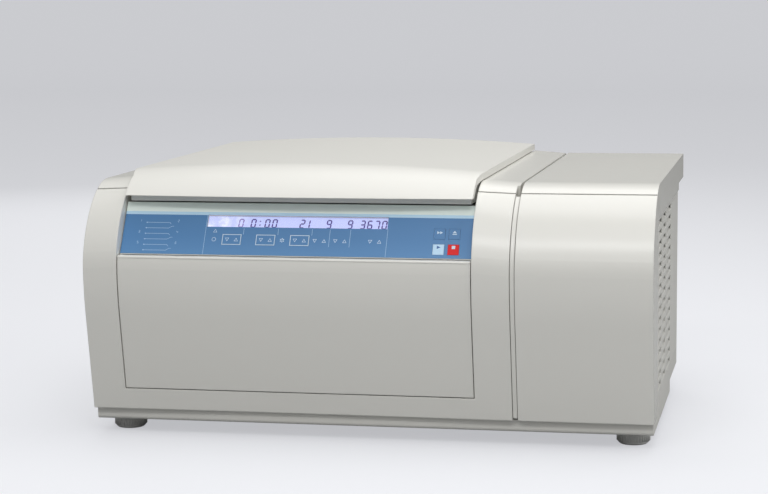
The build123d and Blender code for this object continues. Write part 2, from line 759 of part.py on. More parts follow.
with BuildPart() as motor_mounts:
    with Locations((chamber_x, chamber_y, chassis_top + close_gap)):
        with PolarLocations(mount_circle, 4, start_angle=45):
            Cylinder(radius=mount_radius, height=mount_height, align=(Align.CENTER, Align.CENTER, Align.MIN))
save(motor_mounts, "motor_mounts")

# Spindle and rotor cross with its four yokes and trunnion pins
hub_top = pivot_z + arm_drop + arm_height
spindle_foot = motor_foot + 4.0 + close_gap
with BuildPart() as spindle:
    with Locations((chamber_x, chamber_y, spindle_foot)):
        Cylinder(radius=spindle_radius, height=hub_bottom + 30.0 - spindle_foot,
                 align=(Align.CENTER, Align.CENTER, Align.MIN))
    chamfer(spindle.edges().filter_by(GeomType.CIRCLE).sort_by(Axis.Z)[-1], length=3.0)
save(spindle, "spindle")

with BuildPart() as rotor_cross:
    around_chamber([(0, hub_bottom), (hub_radius - 8.0, hub_bottom), (hub_radius, hub_bottom + 12.0),
                    (hub_radius, hub_top - 3.0), (hub_radius - 3.0, hub_top), (0, hub_top)])
    with Locations((chamber_x, chamber_y, hub_top - arm_height / 2)):
        for arm_angle in (45, 135, 225, 315):
            with Locations(Rotation(0, 0, arm_angle)):
                Box(1.42 * yoke_near + 20.0, arm_width, arm_height,
                    align=(Align.MIN, Align.CENTER, Align.CENTER))
    yoke_size = yoke_far - yoke_near
    yoke_low = pivot_z - trunnion_radius - 8.0
    for side_x in (-1, 1):
        for side_y in (-1, 1):
            centre_x = chamber_x + side_x * (yoke_near + yoke_far) / 2
            centre_y = chamber_y + side_y * (yoke_near + yoke_far) / 2
            with BuildSketch(Plane.XY.offset(yoke_low)):
                with Locations((centre_x, centre_y)):
                    RectangleRounded(yoke_size, yoke_size, 9.0)
            extrude(amount=hub_top - yoke_low)
            pin_length = yoke_near - bucket_side + groove_depth - close_gap + 10.0
            rod_along((chamber_x + side_x * (yoke_near + 10.0), chamber_y + side_y * pivot_radius, pivot_z),
                      (-side_x, 0, 0), trunnion_radius, pin_length)
            rod_along((chamber_x + side_x * pivot_radius, chamber_y + side_y * (yoke_near + 10.0), pivot_z),
                      (0, -side_y, 0), trunnion_radius, pin_length)
    with Locations((chamber_x, chamber_y, hub_bottom - 1.0)):
        Cylinder(radius=spindle_radius + fit_gap, height=31.5, mode=Mode.SUBTRACT,
                 align=(Align.CENTER, Align.CENTER, Align.MIN))
save(rotor_cross, "rotor_cross")

with BuildPart() as rotor_knob:
    with BuildSketch(Plane.XY.offset(hub_top + close_gap)):
        with Locations((chamber_x, chamber_y)):
            Circle(knob_radius)
            with PolarLocations(knob_radius + 3.0, 6):
                Circle(6.0, mode=Mode.SUBTRACT)
    extrude(amount=knob_height)
    fillet(rotor_knob.faces().sort_by(Axis.Z)[-1].edges(), radius=1.5)
save(rotor_knob, "rotor_knob")


def bucket_solid():
    """A bucket hanging at +X from the chamber's axis, its side grooves open downwards over the pins."""
    middle_x = chamber_x + pivot_radius
    with BuildSketch(Plane.XY.offset(pivot_z - bucket_below)) as outside:
        with Locations((middle_x, chamber_y)):
            RectangleRounded(2 * bucket_depth, 2 * bucket_side, 12.0)
    extrude(outside.sketch, amount=bucket_below + bucket_above)
    with BuildSketch(Plane.XY.offset(pivot_z - bucket_below + bucket_wall)) as inside:
        with Locations((middle_x, chamber_y)):
            RectangleRounded(2 * (bucket_depth - bucket_wall), 2 * (bucket_side - bucket_wall), 8.0)
    extrude(inside.sketch, amount=bucket_below + bucket_above, mode=Mode.SUBTRACT)
    for side in (-1, 1):
        face = chamber_y + side * bucket_side
        inner = chamber_y + side * (bucket_side - groove_depth)
        near, away = min(face, inner), max(face, inner)
        block((middle_x - trunnion_radius - fit_gap, near, pivot_z - bucket_below),
              (middle_x + trunnion_radius + fit_gap, away, pivot_z), mode=Mode.SUBTRACT)
        rod_along((middle_x, near, pivot_z), (0, 1, 0), trunnion_radius + fit_gap, groove_depth,
                  mode=Mode.SUBTRACT)


with BuildPart() as first_bucket:
    bucket_solid()
chamber_axis = Axis((chamber_x, chamber_y, 0), (0, 0, 1))
for number in range(4):
    bucket = first_bucket.part.rotate(chamber_axis, 90 * number)
    bucket.label = "swing_bucket_" + str(number + 1)
    export_step(bucket, "parts/" + bucket.label + ".step")

# Lid shell: stands proud of the housing, open below, with a skirt down behind the well.
# It overhangs the shoulders, and narrows to a neck that fits between the pillars in front.


def lid_outline(inset):
    """The lid's outline from above, moved in by inset, as an upright prism."""
    neck_left = window_left + neck_gap + inset
    neck_right = window_right - neck_gap - inset
    with BuildSketch() as outline:
        with BuildLine():
            Polyline((neck_left, low), (neck_left, neck_front_y), (lid_left + inset, neck_rear_y),
                     (lid_left + inset, high), (lid_right - inset, high), (lid_right - inset, neck_rear_y),
                     (neck_right, neck_front_y), (neck_right, low), close=True)
        make_face()
    extrude(outline.sketch, amount=high)


with BuildPart() as lid_around:
    lid_outline(0)
with BuildPart() as lid_inside:
    lid_outline(lid_wall)
with BuildPart() as liner_around:
    lid_outline(lid_wall + liner_gap)
with BuildPart() as lid_sheet:
    crown(lid_band(-lid_stand, lid_wall - lid_stand, lid_lip_angle, lid_rear))
    add(lid_around.part, mode=Mode.INTERSECT)
    block((left, low, 0), (right, liner_front, lid_lip_z), mode=Mode.SUBTRACT)
with BuildPart() as lid_tail:
    crown(side_section(window_middle, 1.0 - lid_stand, 0, lid_rear, lift=crown_rise))
    block((window_left + 2.0, lid_rear - lid_wall, skirt_low), (window_right - 2.0, lid_rear, high),
          mode=Mode.INTERSECT)
with BuildPart() as lid_shell:
    crown(lid_band(-lid_stand, -lid_hover, lid_lip_angle, lid_rear))
    add(lid_around.part, mode=Mode.INTERSECT)
    add(lid_inside.part, mode=Mode.SUBTRACT)
    block((left, low, 0), (right, neck_front_y, lid_lip_z), mode=Mode.SUBTRACT)
    add(lid_sheet.part)
    add(lid_tail.part)
    for hinge_side in (-hinge_spread, hinge_spread):
        block((window_middle + hinge_side - 29.0, lid_rear - lid_wall - 1.0, skirt_low - 1.0),
              (window_middle + hinge_side + 29.0, lid_rear + 1.0, deck_top + 9.0), mode=Mode.SUBTRACT)
save(lid_shell, "lid_shell")

# Lid liner: the foam-filled inner tray, with the grey lip that shows under the shell's front edge
with BuildPart() as lid_liner:
    crown(side_section(window_middle, lid_wall - lid_stand + close_gap, 0, liner_rear, lift=crown_rise))
    add(liner_around.part, mode=Mode.INTERSECT)
    block((window_left + 2.0, liner_front, liner_bottom), (window_right - 2.0, liner_rear, high),
          mode=Mode.INTERSECT)
    for strip_low, strip_high in ((left, window_left + strip_width), (window_right - strip_width, right)):
        block((strip_low, liner_step, 0), (strip_high, rear, high), mode=Mode.SUBTRACT)
save(lid_liner, "lid_liner")

# Hinges: a fork with a pin on the floor of the well, a knuckle arm on the liner
with BuildPart() as hinge_brackets:
    for hinge_side in (-hinge_spread, hinge_spread):
        hinge_x = window_middle + hinge_side
        block((hinge_x - 24.0, hinge_y - 13.0, well_floor),
              (hinge_x + 24.0, hinge_y + 12.0, well_floor + 3.0))
        for ear_x in (hinge_x - knuckle_half - close_gap - ear_thickness, hinge_x + knuckle_half + close_gap):
            block((ear_x, hinge_y - 10.0, well_floor + 3.0), (ear_x + ear_thickness, hinge_y + 10.0, hinge_z))
            rod_along((ear_x, hinge_y, hinge_z), (1, 0, 0), 10.0, ear_thickness)
        rod_along((hinge_x - far / 2, hinge_y, hinge_z), (1, 0, 0), hinge_pin + fit_gap, far,
                  mode=Mode.SUBTRACT)
    for side in (-1, 1):
        wall = window_left if side < 0 else window_right
        block((min(wall, wall - side * 6.0), spring_anchor_y - 9.0, well_floor),
              (max(wall, wall - side * 6.0), spring_anchor_y + 9.0, spring_anchor_z + 8.0))
        rod_along((wall - side * 5.0, spring_anchor_y, spring_anchor_z), (-side, 0, 0), rod_radius,
                  spring_in + eye_half - 3.0)
save(hinge_brackets, "hinge_brackets")

with BuildPart() as hinge_pins:
    for hinge_side in (-hinge_spread, hinge_spread):
        rod_along((window_middle + hinge_side - 17.0, hinge_y, hinge_z), (1, 0, 0), hinge_pin, 34.0)
save(hinge_pins, "hinge_pins")

with BuildPart() as lid_brackets:
    for hinge_side in (-hinge_spread, hinge_spread):
        hinge_x = window_middle + hinge_side
        block((hinge_x - 25.0, liner_rear + close_gap, hinge_z - 9.0),
              (hinge_x + 25.0, liner_rear + 4.5, hinge_z + 13.0))
        block((hinge_x - knuckle_half, liner_rear + 2.0, hinge_z - 6.0),
              (hinge_x + knuckle_half, hinge_y, hinge_z + 6.0))
        rod_along((hinge_x - knuckle_half, hinge_y, hinge_z), (1, 0, 0), knuckle_radius, 2 * knuckle_half)
        rod_along((hinge_x - far / 2, hinge_y, hinge_z), (1, 0, 0), hinge_pin + fit_gap, far,
                  mode=Mode.SUBTRACT)
    for side in (-1, 1):
        wall = window_left if side < 0 else window_right
        liner_wall = wall - side * (strip_width - close_gap)
        stud_start = wall - side * (spring_in + eye_half + 6.0)
        block((min(liner_wall, stud_start), spring_lid_y - 10.0, spring_lid_z - 8.0),
              (max(liner_wall, stud_start), spring_lid_y + 10.0, spring_lid_z + 8.0))
        rod_along((stud_start, spring_lid_y, spring_lid_z), (side, 0, 0), rod_radius, 5.5)
save(lid_brackets, "lid_brackets")

# Gas springs: cylinder on the anchor, rod on the lid, drawn along the line between their pivots
spring_run = spring_lid_y - spring_anchor_y
spring_climb = spring_lid_z - spring_anchor_z
spring_length = hypot(spring_run, spring_climb)
spring_direction = (0, spring_run / spring_length, spring_climb / spring_length)
cylinder_length = 128.0
piston_place = 18.0


def along_spring(x, distance):
    """A point on a gas spring's axis, a distance from its anchor."""
    return (x, spring_anchor_y + spring_direction[1] * distance,
            spring_anchor_z + spring_direction[2] * distance)


for side_name, side in (("left", -1), ("right", 1)):
    spring_x = (window_left if side < 0 else window_right) - side * spring_in
    with BuildPart() as gas_cylinder:
        rod_along(along_spring(spring_x, 5.0), spring_direction, 5.0, 8.0)
        rod_along(along_spring(spring_x, 11.0), spring_direction, spring_radius, cylinder_length - 11.0)
        rod_along((spring_x - eye_half, spring_anchor_y, spring_anchor_z), (1, 0, 0), eye_radius,
                  2 * eye_half)
        rod_along((spring_x - eye_half, spring_anchor_y, spring_anchor_z), (1, 0, 0), rod_radius + fit_gap,
                  2 * eye_half, mode=Mode.SUBTRACT)
        rod_along(along_spring(spring_x, 16.0), spring_direction, spring_radius - 1.5, cylinder_length - 20.0,
                  mode=Mode.SUBTRACT)
        rod_along(along_spring(spring_x, 100.0), spring_direction, rod_radius + fit_gap, far,
                  mode=Mode.SUBTRACT)
    save(gas_cylinder, "gas_cylinder_" + side_name)
    with BuildPart() as gas_rod:
        rod_along(along_spring(spring_x, piston_place), spring_direction, rod_radius,
                  spring_length - piston_place - 5.0)
        rod_along(along_spring(spring_x, piston_place), spring_direction, spring_radius - 1.6, 6.0)
        rod_along((spring_x - eye_half, spring_lid_y, spring_lid_z), (1, 0, 0), eye_radius, 2 * eye_half)
        rod_along((spring_x - eye_half, spring_lid_y, spring_lid_z), (1, 0, 0), rod_radius + 0.2,
                  2 * eye_half,
                  mode=Mode.SUBTRACT)
    save(gas_rod, "gas_rod_" + side_name)

# Lid latch: housings under the well floor, a hook in each, strikers hanging from the liner
housing_half = 17.0
with BuildPart() as latch_housings:
    for latch_side in (-latch_x, latch_x):
        x = window_middle + latch_side
        for plate_x in (x - housing_half, x + housing_half - 3.0):
            block((plate_x, latch_y - 20.0, latch_z - 30.0),
                  (plate_x + 3.0, latch_y + 20.0, plate_bottom - close_gap))
        for flange_x in (x - 28.0, x + housing_half - 3.0):
            block((flange_x, latch_y - 20.0, plate_bottom - close_gap - 3.0),
                  (flange_x + 14.0, latch_y + 20.0, plate_bottom - close_gap))
        block((x - housing_half, latch_y - 20.0, latch_z - 60.0),
              (x + housing_half, latch_y + 20.0, latch_z - 27.0))
        rod_along((x - housing_half, latch_y, latch_z), (1, 0, 0), hinge_pin, 2 * housing_half)
save(latch_housings, "latch_housings")

for side_name, side in (("left", -1), ("right", 1)):
    x = window_middle + side * latch_x
    with BuildPart() as latch_hook:
        with BuildSketch(Plane(origin=(x - 3.0, latch_y, latch_z), x_dir=(0, 1, 0), z_dir=(1, 0, 0))):
            Circle(9.0)
            with BuildLine():
                for radius, begin, end in ((claw_outer, 0, 55), (claw_inner, 0, 55)):
                    CenterArc((0, 0), radius, begin, end - begin)
                for angle in (0, 55):
                    Line((claw_inner * cos(radians(angle)), claw_inner * sin(radians(angle))),
                         (claw_outer * cos(radians(angle)), claw_outer * sin(radians(angle))))
            make_face()
            with Locations((7.0, -1.0)):
                Rectangle(claw_inner - 4.0, 5.0, align=(Align.MIN, Align.CENTER))
            Circle(hinge_pin + fit_gap, mode=Mode.SUBTRACT)
        extrude(amount=6.0)
    save(latch_hook, "latch_hook_" + side_name)

with BuildPart() as lid_strikers:
    for latch_side in (-latch_x, latch_x):
        x = window_middle + latch_side
        block((x - 11.0, latch_y - 5.0, liner_bottom - 3.0), (x + 11.0, latch_y + 5.0, liner_bottom))
        for leg_x in (x - 11.0, x + 8.0):
            block((leg_x, latch_y - 5.0, latch_z + striker_reach - 5.0),
                  (leg_x + 3.0, latch_y + 5.0, liner_bottom))
        rod_along((x - 11.0, latch_y, latch_z + striker_reach), (1, 0, 0), striker_bar, 22.0)
save(lid_strikers, "lid_strikers")

# Side compartment: condenser behind the louvres, fan, compressor, power unit and pipes
tray_seat = tray_floor + close_gap
with BuildPart() as condenser:
    block((condenser_x, condenser_front, tray_seat),
          (condenser_x + condenser_depth, condenser_rear, condenser_top))
    fin_slots = 36
    fin_pitch = (condenser_rear - condenser_front - 12.0) / fin_slots
    with BuildSketch(Plane.YZ.offset(condenser_x - 1.0)):
        with Locations(((condenser_front + condenser_rear) / 2, (tray_seat + condenser_top) / 2)):
            with GridLocations(fin_pitch, 0, fin_slots, 1):
                Rectangle(0.7 * fin_pitch, condenser_top - tray_seat - 16.0)
    extrude(amount=condenser_depth + 2.0, mode=Mode.SUBTRACT)
    for tube_row in range(6):
        tube_z = tray_seat + 26.0 + 42.0 * tube_row
        rod_along((condenser_x + condenser_depth / 2, condenser_front, tube_z), (0, 1, 0), 4.5,
                  condenser_rear - condenser_front)
save(condenser, "condenser")

shroud_plate = condenser_x - close_gap
motor_x = right - 105.0
with BuildPart() as fan_shroud:
    block((shroud_plate - 3.0, condenser_front + 12.0, tray_seat),
          (shroud_plate, condenser_rear, condenser_top))
    rod_along((shroud_plate - 28.0, fan_y, fan_z), (1, 0, 0), shroud_radius + 4.0, 28.0)
    rod_along((shroud_plate - 40.0, fan_y, fan_z), (1, 0, 0), shroud_radius, 45.0, mode=Mode.SUBTRACT)
    for arm_angle in (90, 210, 330):
        with BuildSketch(Plane(origin=(shroud_plate - 32.0, fan_y, fan_z), x_dir=(0, 1, 0), z_dir=(1, 0, 0))):
            with Locations(Rotation(0, 0, arm_angle)):
                Rectangle(shroud_radius + 4.0, 10.0, align=(Align.MIN, Align.CENTER))
        extrude(amount=4.0)
    rod_along((motor_x, fan_y, fan_z), (1, 0, 0), 24.0, shroud_plate - 28.0 - motor_x)
    rod_along((motor_x + 6.0, fan_y, fan_z), (1, 0, 0), 3.0 + fit_gap, far, mode=Mode.SUBTRACT)
save(fan_shroud, "fan_shroud")

with BuildPart() as fan_rotor:
    rod_along((shroud_plate - 25.0, fan_y, fan_z), (1, 0, 0), 22.0, 20.0)
    rod_along((motor_x + 8.0, fan_y, fan_z), (1, 0, 0), 3.0, shroud_plate - 22.0 - motor_x - 8.0)
    with Locations(Location((shroud_plate - 15.0, fan_y, fan_z), (0, 90, 0))):
        with PolarLocations(0, 5):
            with Locations(Location((0, 0, 0), (30, 0, 0))):
                Box(fan_radius, 30.0, 2.0, align=(Align.MIN, Align.CENTER, Align.CENTER))
save(fan_rotor, "fan_rotor")

with BuildPart() as compressor:
    with BuildSketch(Plane(origin=(compressor_x, compressor_y, 0), x_dir=(1, 0, 0), z_dir=(0, -1, 0))):
        with BuildLine():
            Polyline((0, compressor_bottom), (compressor_radius - 18.0, compressor_bottom),
                     (compressor_radius, compressor_bottom + 14.0),
                     (compressor_radius, compressor_bottom + compressor_height - 26.0),
                     (compressor_radius - 12.0, compressor_bottom + compressor_height - 8.0),
                     (compressor_radius - 34.0, compressor_bottom + compressor_height),
                     (0, compressor_bottom + compressor_height), close=True)
        make_face()
    revolve(axis=Axis((compressor_x, compressor_y, 0), (0, 0, 1)))
    for foot_x in (-44.0, 44.0):
        for foot_y in (-34.0, 44.0):
            with Locations((compressor_x + foot_x, compressor_y + foot_y, raised_floor + close_gap)):
                Cylinder(radius=9.0, height=compressor_bottom - raised_floor + 8.0,
                         align=(Align.CENTER, Align.CENTER, Align.MIN))
    block((compressor_x - 54.0, compressor_y - 54.0, compressor_bottom + 4.0),
          (compressor_x + 54.0, compressor_y + 54.0, compressor_bottom + 7.0))
save(compressor, "compressor")

pipe_start_z = compressor_bottom + compressor_height + close_gap
discharge_x = compressor_x + 14.0
suction_x = compressor_x - 14.0
condenser_middle = condenser_x + condenser_depth / 2
armour_radius = armour_inner + armour_wall
armour_meet = chamber_x + sqrt(armour_radius ** 2 - (compressor_y - pipe_radius - chamber_y) ** 2)
with BuildPart() as refrigerant_pipes:
    with BuildLine() as discharge_path:
        FilletPolyline((discharge_x, compressor_y, pipe_start_z),
                       (discharge_x, compressor_y, pipe_start_z + 42.0),
                       (condenser_middle, compressor_y, pipe_start_z + 42.0),
                       (condenser_middle, condenser_rear + close_gap, pipe_start_z + 42.0), radius=14.0)
    with BuildSketch(Plane.XY.offset(pipe_start_z)):
        with Locations((discharge_x, compressor_y)):
            Circle(pipe_radius)
    sweep(path=discharge_path.wires()[0])
    with BuildLine() as suction_path:
        FilletPolyline((suction_x, compressor_y, pipe_start_z), (suction_x, compressor_y, suction_z),
                       (armour_meet + close_gap, compressor_y, suction_z), radius=14.0)
    with BuildSketch(Plane.XY.offset(pipe_start_z)):
        with Locations((suction_x, compressor_y)):
            Circle(pipe_radius)
    sweep(path=suction_path.wires()[0])
save(refrigerant_pipes, "refrigerant_pipes")

unit_left = side_left + cover_wall + 1.0
unit_right = motor_x - 10.5
with BuildPart() as power_unit:
    block((unit_left, front + 100.0, tray_seat), (unit_right, front + 325.0, 280.0))
    for fin in range(14):
        fin_y = front + 110.0 + fin * 15.0
        block((unit_right - 12.0, fin_y, 60.0), (unit_right + 1.0, fin_y + 9.0, 270.0), mode=Mode.SUBTRACT)
save(power_unit, "power_unit")

# Power entry: one moulding that holds the inlet socket and the rocker's well
inlet_deep = 30.0
with BuildPart() as mains_inlet:
    block((inlet_x - inlet_body[0] / 2, rear_wall - inlet_deep, inlet_z - inlet_body[1] / 2),
          (inlet_x + inlet_body[0] / 2, rear_wall + 1.0, inlet_z + inlet_body[1] / 2))
    block((inlet_x - inlet_flange[0] / 2, rear_wall, inlet_z - inlet_flange[1] / 2),
          (inlet_x + inlet_flange[0] / 2, rear_wall + 2.0, inlet_z + inlet_flange[1] / 2))
    block((inlet_x + socket_x - socket_size[0] / 2, rear_wall + 2.0 - socket_depth,
           inlet_z - socket_size[1] / 2),
          (inlet_x + socket_x + socket_size[0] / 2, rear_wall + 3.0, inlet_z + socket_size[1] / 2),
          mode=Mode.SUBTRACT)
    for pin_x, pin_z in ((-7.0, -2.0), (0.0, 3.5), (7.0, -2.0)):
        block((inlet_x + socket_x + pin_x - 1.0, rear_wall + 2.0 - socket_depth, inlet_z + pin_z - 2.0),
              (inlet_x + socket_x + pin_x + 1.0, rear_wall - 2.0, inlet_z + pin_z + 2.0))
    block((inlet_x + rocker_x - rocker_width / 2 - 0.7, rear_wall - 16.0, inlet_z - 12.0),
          (inlet_x + rocker_x + rocker_width / 2 + 0.7, rear_wall + 3.0, inlet_z + 12.0), mode=Mode.SUBTRACT)
save(mains_inlet, "mains_inlet")

rocker_plane = Plane(origin=(inlet_x + rocker_x - rocker_width / 2, rear_wall - 2.0, inlet_z),
                     x_dir=(0, 1, 0),
                     z_dir=(1, 0, 0)).rotated((rocker_swing / 2, 0, 0))
with BuildPart() as mains_switch:
    with BuildSketch(rocker_plane):
        Circle(rocker_hub)
        Rectangle(rocker_hub, 2 * rocker_hub, align=(Align.MIN, Align.CENTER), mode=Mode.SUBTRACT)
        with BuildLine():
            Polyline((-4.0, -rocker_half + 2.0), (rocker_thick / 2, -rocker_half),
                     (rocker_thick / 2 - 1.8, 0),
                     (rocker_thick / 2, rocker_half), (-4.0, rocker_half - 2.0), close=True)
        make_face()
    extrude(amount=rocker_width)
save(mains_switch, "mains_switch")

# Screws on the rear panel
with BuildPart() as casing_screws:
    with BuildSketch(Plane.XZ.offset(-rear_wall)):
        for screw_x in (left + 14.0, left + 200.0, left + 380.0, main_right - 14.0, side_left + 14.0,
                        right - 14.0):
            for screw_z in (52.0, 292.0):
                with Locations((screw_x, screw_z)):
                    Circle(4.0)
    extrude(amount=-2.4)
    with BuildSketch(Plane.XZ.offset(-rear_wall - 2.4)):
        for screw_x in (left + 14.0, left + 200.0, left + 380.0, main_right - 14.0, side_left + 14.0,
                        right - 14.0):
            for screw_z in (52.0, 292.0):
                with Locations((screw_x, screw_z)):
                    Rectangle(4.4, 0.9)
                    Rectangle(0.9, 4.4)
    extrude(amount=1.2, mode=Mode.SUBTRACT)
save(casing_screws, "casing_screws")
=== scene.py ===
"""Looks of a refrigerated bench centrifuge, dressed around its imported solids."""

import json
import logging
import math
from collections.abc import Sequence
from dataclasses import dataclass, field, replace
from enum import Enum
from itertools import product
from typing import Any

import bmesh
import bpy
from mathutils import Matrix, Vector


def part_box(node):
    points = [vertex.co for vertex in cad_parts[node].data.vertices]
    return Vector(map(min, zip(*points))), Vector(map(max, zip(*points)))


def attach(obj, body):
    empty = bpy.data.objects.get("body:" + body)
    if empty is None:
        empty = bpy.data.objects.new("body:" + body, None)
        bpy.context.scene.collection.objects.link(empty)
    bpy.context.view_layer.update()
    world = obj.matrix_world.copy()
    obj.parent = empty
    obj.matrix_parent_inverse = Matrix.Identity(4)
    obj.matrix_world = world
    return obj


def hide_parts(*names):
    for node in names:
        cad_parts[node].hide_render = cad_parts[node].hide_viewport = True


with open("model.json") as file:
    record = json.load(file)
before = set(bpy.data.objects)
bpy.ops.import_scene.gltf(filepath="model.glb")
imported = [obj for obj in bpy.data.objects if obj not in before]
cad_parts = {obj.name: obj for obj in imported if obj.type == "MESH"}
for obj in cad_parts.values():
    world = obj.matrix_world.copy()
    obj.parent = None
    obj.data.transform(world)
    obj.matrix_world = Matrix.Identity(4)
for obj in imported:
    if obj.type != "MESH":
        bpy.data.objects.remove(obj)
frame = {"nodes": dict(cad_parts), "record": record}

log = logging.getLogger("centrifuge")

Colour = tuple[float, float, float]
Point2 = tuple[float, float]
Point3 = tuple[float, float, float]
Material = bpy.types.Material
Node = bpy.types.Node
Socket = bpy.types.NodeSocket
Tree = bpy.types.NodeTree

MM = 0.001
PANEL_TILT = math.radians(31.4)
NOISE_RANGE = (0.3, 0.7)
MIX_INPUTS = (0, 6, 7)
MIX_RESULT = 2
DIGIT_SEGMENTS = {"0": "abcdef", "1": "bc", "2": "abged", "3": "abgcd", "4": "fgbc", "5": "afgcd",
                  "6": "afgedc", "7": "abc", "8": "abcdefg", "9": "abcdfg"}


def srgb(red: int, green: int, blue: int) -> Colour:
    """A colour given in 0 to 255 display values, as scene-linear values.

    Args:
        red: Red channel.
        green: Green channel.
        blue: Blue channel.

    Returns:
        The linear colour.
    """
    def linear(channel: int) -> float:
        share = channel / 255
        return share / 12.92 if share <= 0.04045 else ((share + 0.055) / 1.055) ** 2.4
    return linear(red), linear(green), linear(blue)


class Graph:
    """Adds and wires nodes in one node tree."""

    def __init__(self, tree: Tree) -> None:
        """Keep the tree that this graph writes to.

        Args:
            tree: The node tree.
        """
        self.tree = tree

    def feed(self, node: Node, inputs: dict[Any, Any]) -> None:
        """Give a node's inputs their values or sources.

        Args:
            node: The node.
            inputs: Values or source sockets, by input name or index.
        """
        for key, value in inputs.items():
            if isinstance(value, Socket):
                self.tree.links.new(value, node.inputs[key])
            else:
                node.inputs[key].default_value = value

    def add(self, kind: str, inputs: dict[Any, Any] | None = None, **settings: Any) -> Node:
        """Add a node.

        Args:
            kind: The node's type name.
            inputs: Values or source sockets, by input name or index.
            **settings: Properties set on the node before its inputs.

        Returns:
            The new node.
        """
        node = self.tree.nodes.new(kind)
        for name, value in settings.items():
            setattr(node, name, value)
        self.feed(node, inputs or {})
        return node

    def place(self) -> Socket:
        """The shaded point's place in its object, in metres."""
        return self.add("ShaderNodeTexCoord").outputs["Object"]

    def noise(self, place: Any, scale: Any, detail: float, **more: float) -> Socket:
        """A noise pattern.

        Args:
            place: Where it is read.
            scale: Its scale.
            detail: Its detail.
            **more: Further inputs, by name.

        Returns:
            The pattern's socket, from 0 to 1.
        """
        inputs = {"Vector": place, "Scale": scale, "Detail": detail, **more}
        return self.add("ShaderNodeTexNoise", inputs).outputs["Fac"]

    def math(self, operation: str, *values: Any) -> Socket:
        """One arithmetic step.

        Args:
            operation: The operation's name.
            *values: Numbers or sockets.

        Returns:
            The result socket.
        """
        return self.add("ShaderNodeMath", dict(enumerate(values)), operation=operation).outputs[0]

    def ramp(self, value: Any, low: float, high: float, to_low: Any = 0.0, to_high: Any = 1.0) -> Socket:
        """Map a range smoothly to another, clamped.

        Args:
            value: The source socket.
            low: Start of the source range.
            high: End of the source range.
            to_low: Result at the start.
            to_high: Result at the end.

        Returns:
            The result socket.
        """
        keys = {"Value": value, "From Min": low, "From Max": high, "To Min": to_low, "To Max": to_high}
        return self.add("ShaderNodeMapRange", keys, interpolation_type="SMOOTHSTEP").outputs["Result"]

    def mix(self, factor: Any, first: Any, second: Any, blend: str = "MIX") -> Socket:
        """Mix two colours.

        Args:
            factor: Share of the second colour.
            first: First colour or socket.
            second: Second colour or socket.
            blend: Blend mode.

        Returns:
            The result socket.
        """
        colours = [(*value, 1.0) if isinstance(value, tuple) else value for value in (first, second)]
        node = self.add("ShaderNodeMix", data_type="RGBA", blend_type=blend)
        self.feed(node, dict(zip(MIX_INPUTS, (factor, *colours))))
        return node.outputs[MIX_RESULT]


class Effect(Enum):
    """Surface effects that several finishes share, each a node group made once."""

    GRAIN = "moulded_grain"
    BRUSHING = "brushed_lines"
    EDGES = "soft_edges"
    DUST = "settled_dust"

    def group(self) -> Tree:
        """The effect's node group, built on first use."""
        found = bpy.data.node_groups.get(self.value)
        if found is None:
            found = bpy.data.node_groups.new(self.value, "ShaderNodeTree")
            builders = {Effect.GRAIN: _build_grain, Effect.BRUSHING: _build_brushing,
                        Effect.EDGES: _build_edges, Effect.DUST: _build_dust}
            builders[self](found)
        return found

    def node(self, graph: Graph, inputs: dict[str, float]) -> Node:
        """Place the effect in a material.

        Args:
            graph: The material's graph.
            inputs: Values for the group's inputs.

        Returns:
            The group node.
        """
        return graph.add("ShaderNodeGroup", inputs, node_tree=self.group())


def open_group(tree: Tree, inputs: dict[str, float],
               outputs: Sequence[str]) -> tuple[Graph, dict[str, Socket], Node]:
    """Declare a group's sockets.

    Args:
        tree: The group.
        inputs: Number inputs and their defaults.
        outputs: Output names. The one named Normal is a vector.

    Returns:
        The graph, the inputs as sockets and the output node.
    """
    for name, value in inputs.items():
        socket = tree.interface.new_socket(name, in_out="INPUT", socket_type="NodeSocketFloat")
        socket.default_value = value
    for name in outputs:
        kind = "NodeSocketVector" if name == "Normal" else "NodeSocketFloat"
        tree.interface.new_socket(name, in_out="OUTPUT", socket_type=kind)
    graph = Graph(tree)
    source = graph.add("NodeGroupInput")
    return graph, {name: source.outputs[name] for name in inputs}, graph.add("NodeGroupOutput")


def vary_roughness(graph: Graph, given: dict[str, Socket], pattern: Socket) -> Socket:
    """Roughness that varies round its middle by its spread.

    Args:
        graph: The group's graph.
        given: The group's inputs, with Roughness and Spread among them.
        pattern: The pattern that it follows.

    Returns:
        The roughness socket.
    """
    low = graph.math("SUBTRACT", given["Roughness"], given["Spread"])
    high = graph.math("ADD", given["Roughness"], given["Spread"])
    return graph.ramp(pattern, *NOISE_RANGE, low, high)


def _build_grain(tree: Tree) -> None:
    """Fine spark texture of a moulding, with broad changes of gloss and shade.

    Args:
        tree: The group to build.
    """
    sizes = {"Scale": 900.0, "Roughness": 0.4, "Spread": 0.06, "Mottle": 0.04}
    graph, given, out = open_group(tree, sizes, ("Height", "Roughness", "Shade"))
    pit_share, fine_share = 0.7, 0.5
    place = graph.place()
    fine = graph.noise(place, given["Scale"], 3.0, Roughness=0.65)
    pits = graph.add("ShaderNodeTexVoronoi", {"Vector": place, "Scale": given["Scale"], "Smoothness": 0.6},
                     feature="SMOOTH_F1").outputs["Distance"]
    broad = graph.noise(place, 7.0, 5.0, Roughness=0.55)
    cloud = graph.noise(place, 2.6, 3.0, Distortion=0.4)
    darkest = graph.math("SUBTRACT", 1.0, given["Mottle"])
    graph.feed(out, {
        "Height": graph.math("MULTIPLY_ADD", pits, pit_share, graph.math("MULTIPLY", fine, fine_share)),
        "Roughness": vary_roughness(graph, given, broad),
        "Shade": graph.ramp(cloud, *NOISE_RANGE, darkest, 1.0),
    })


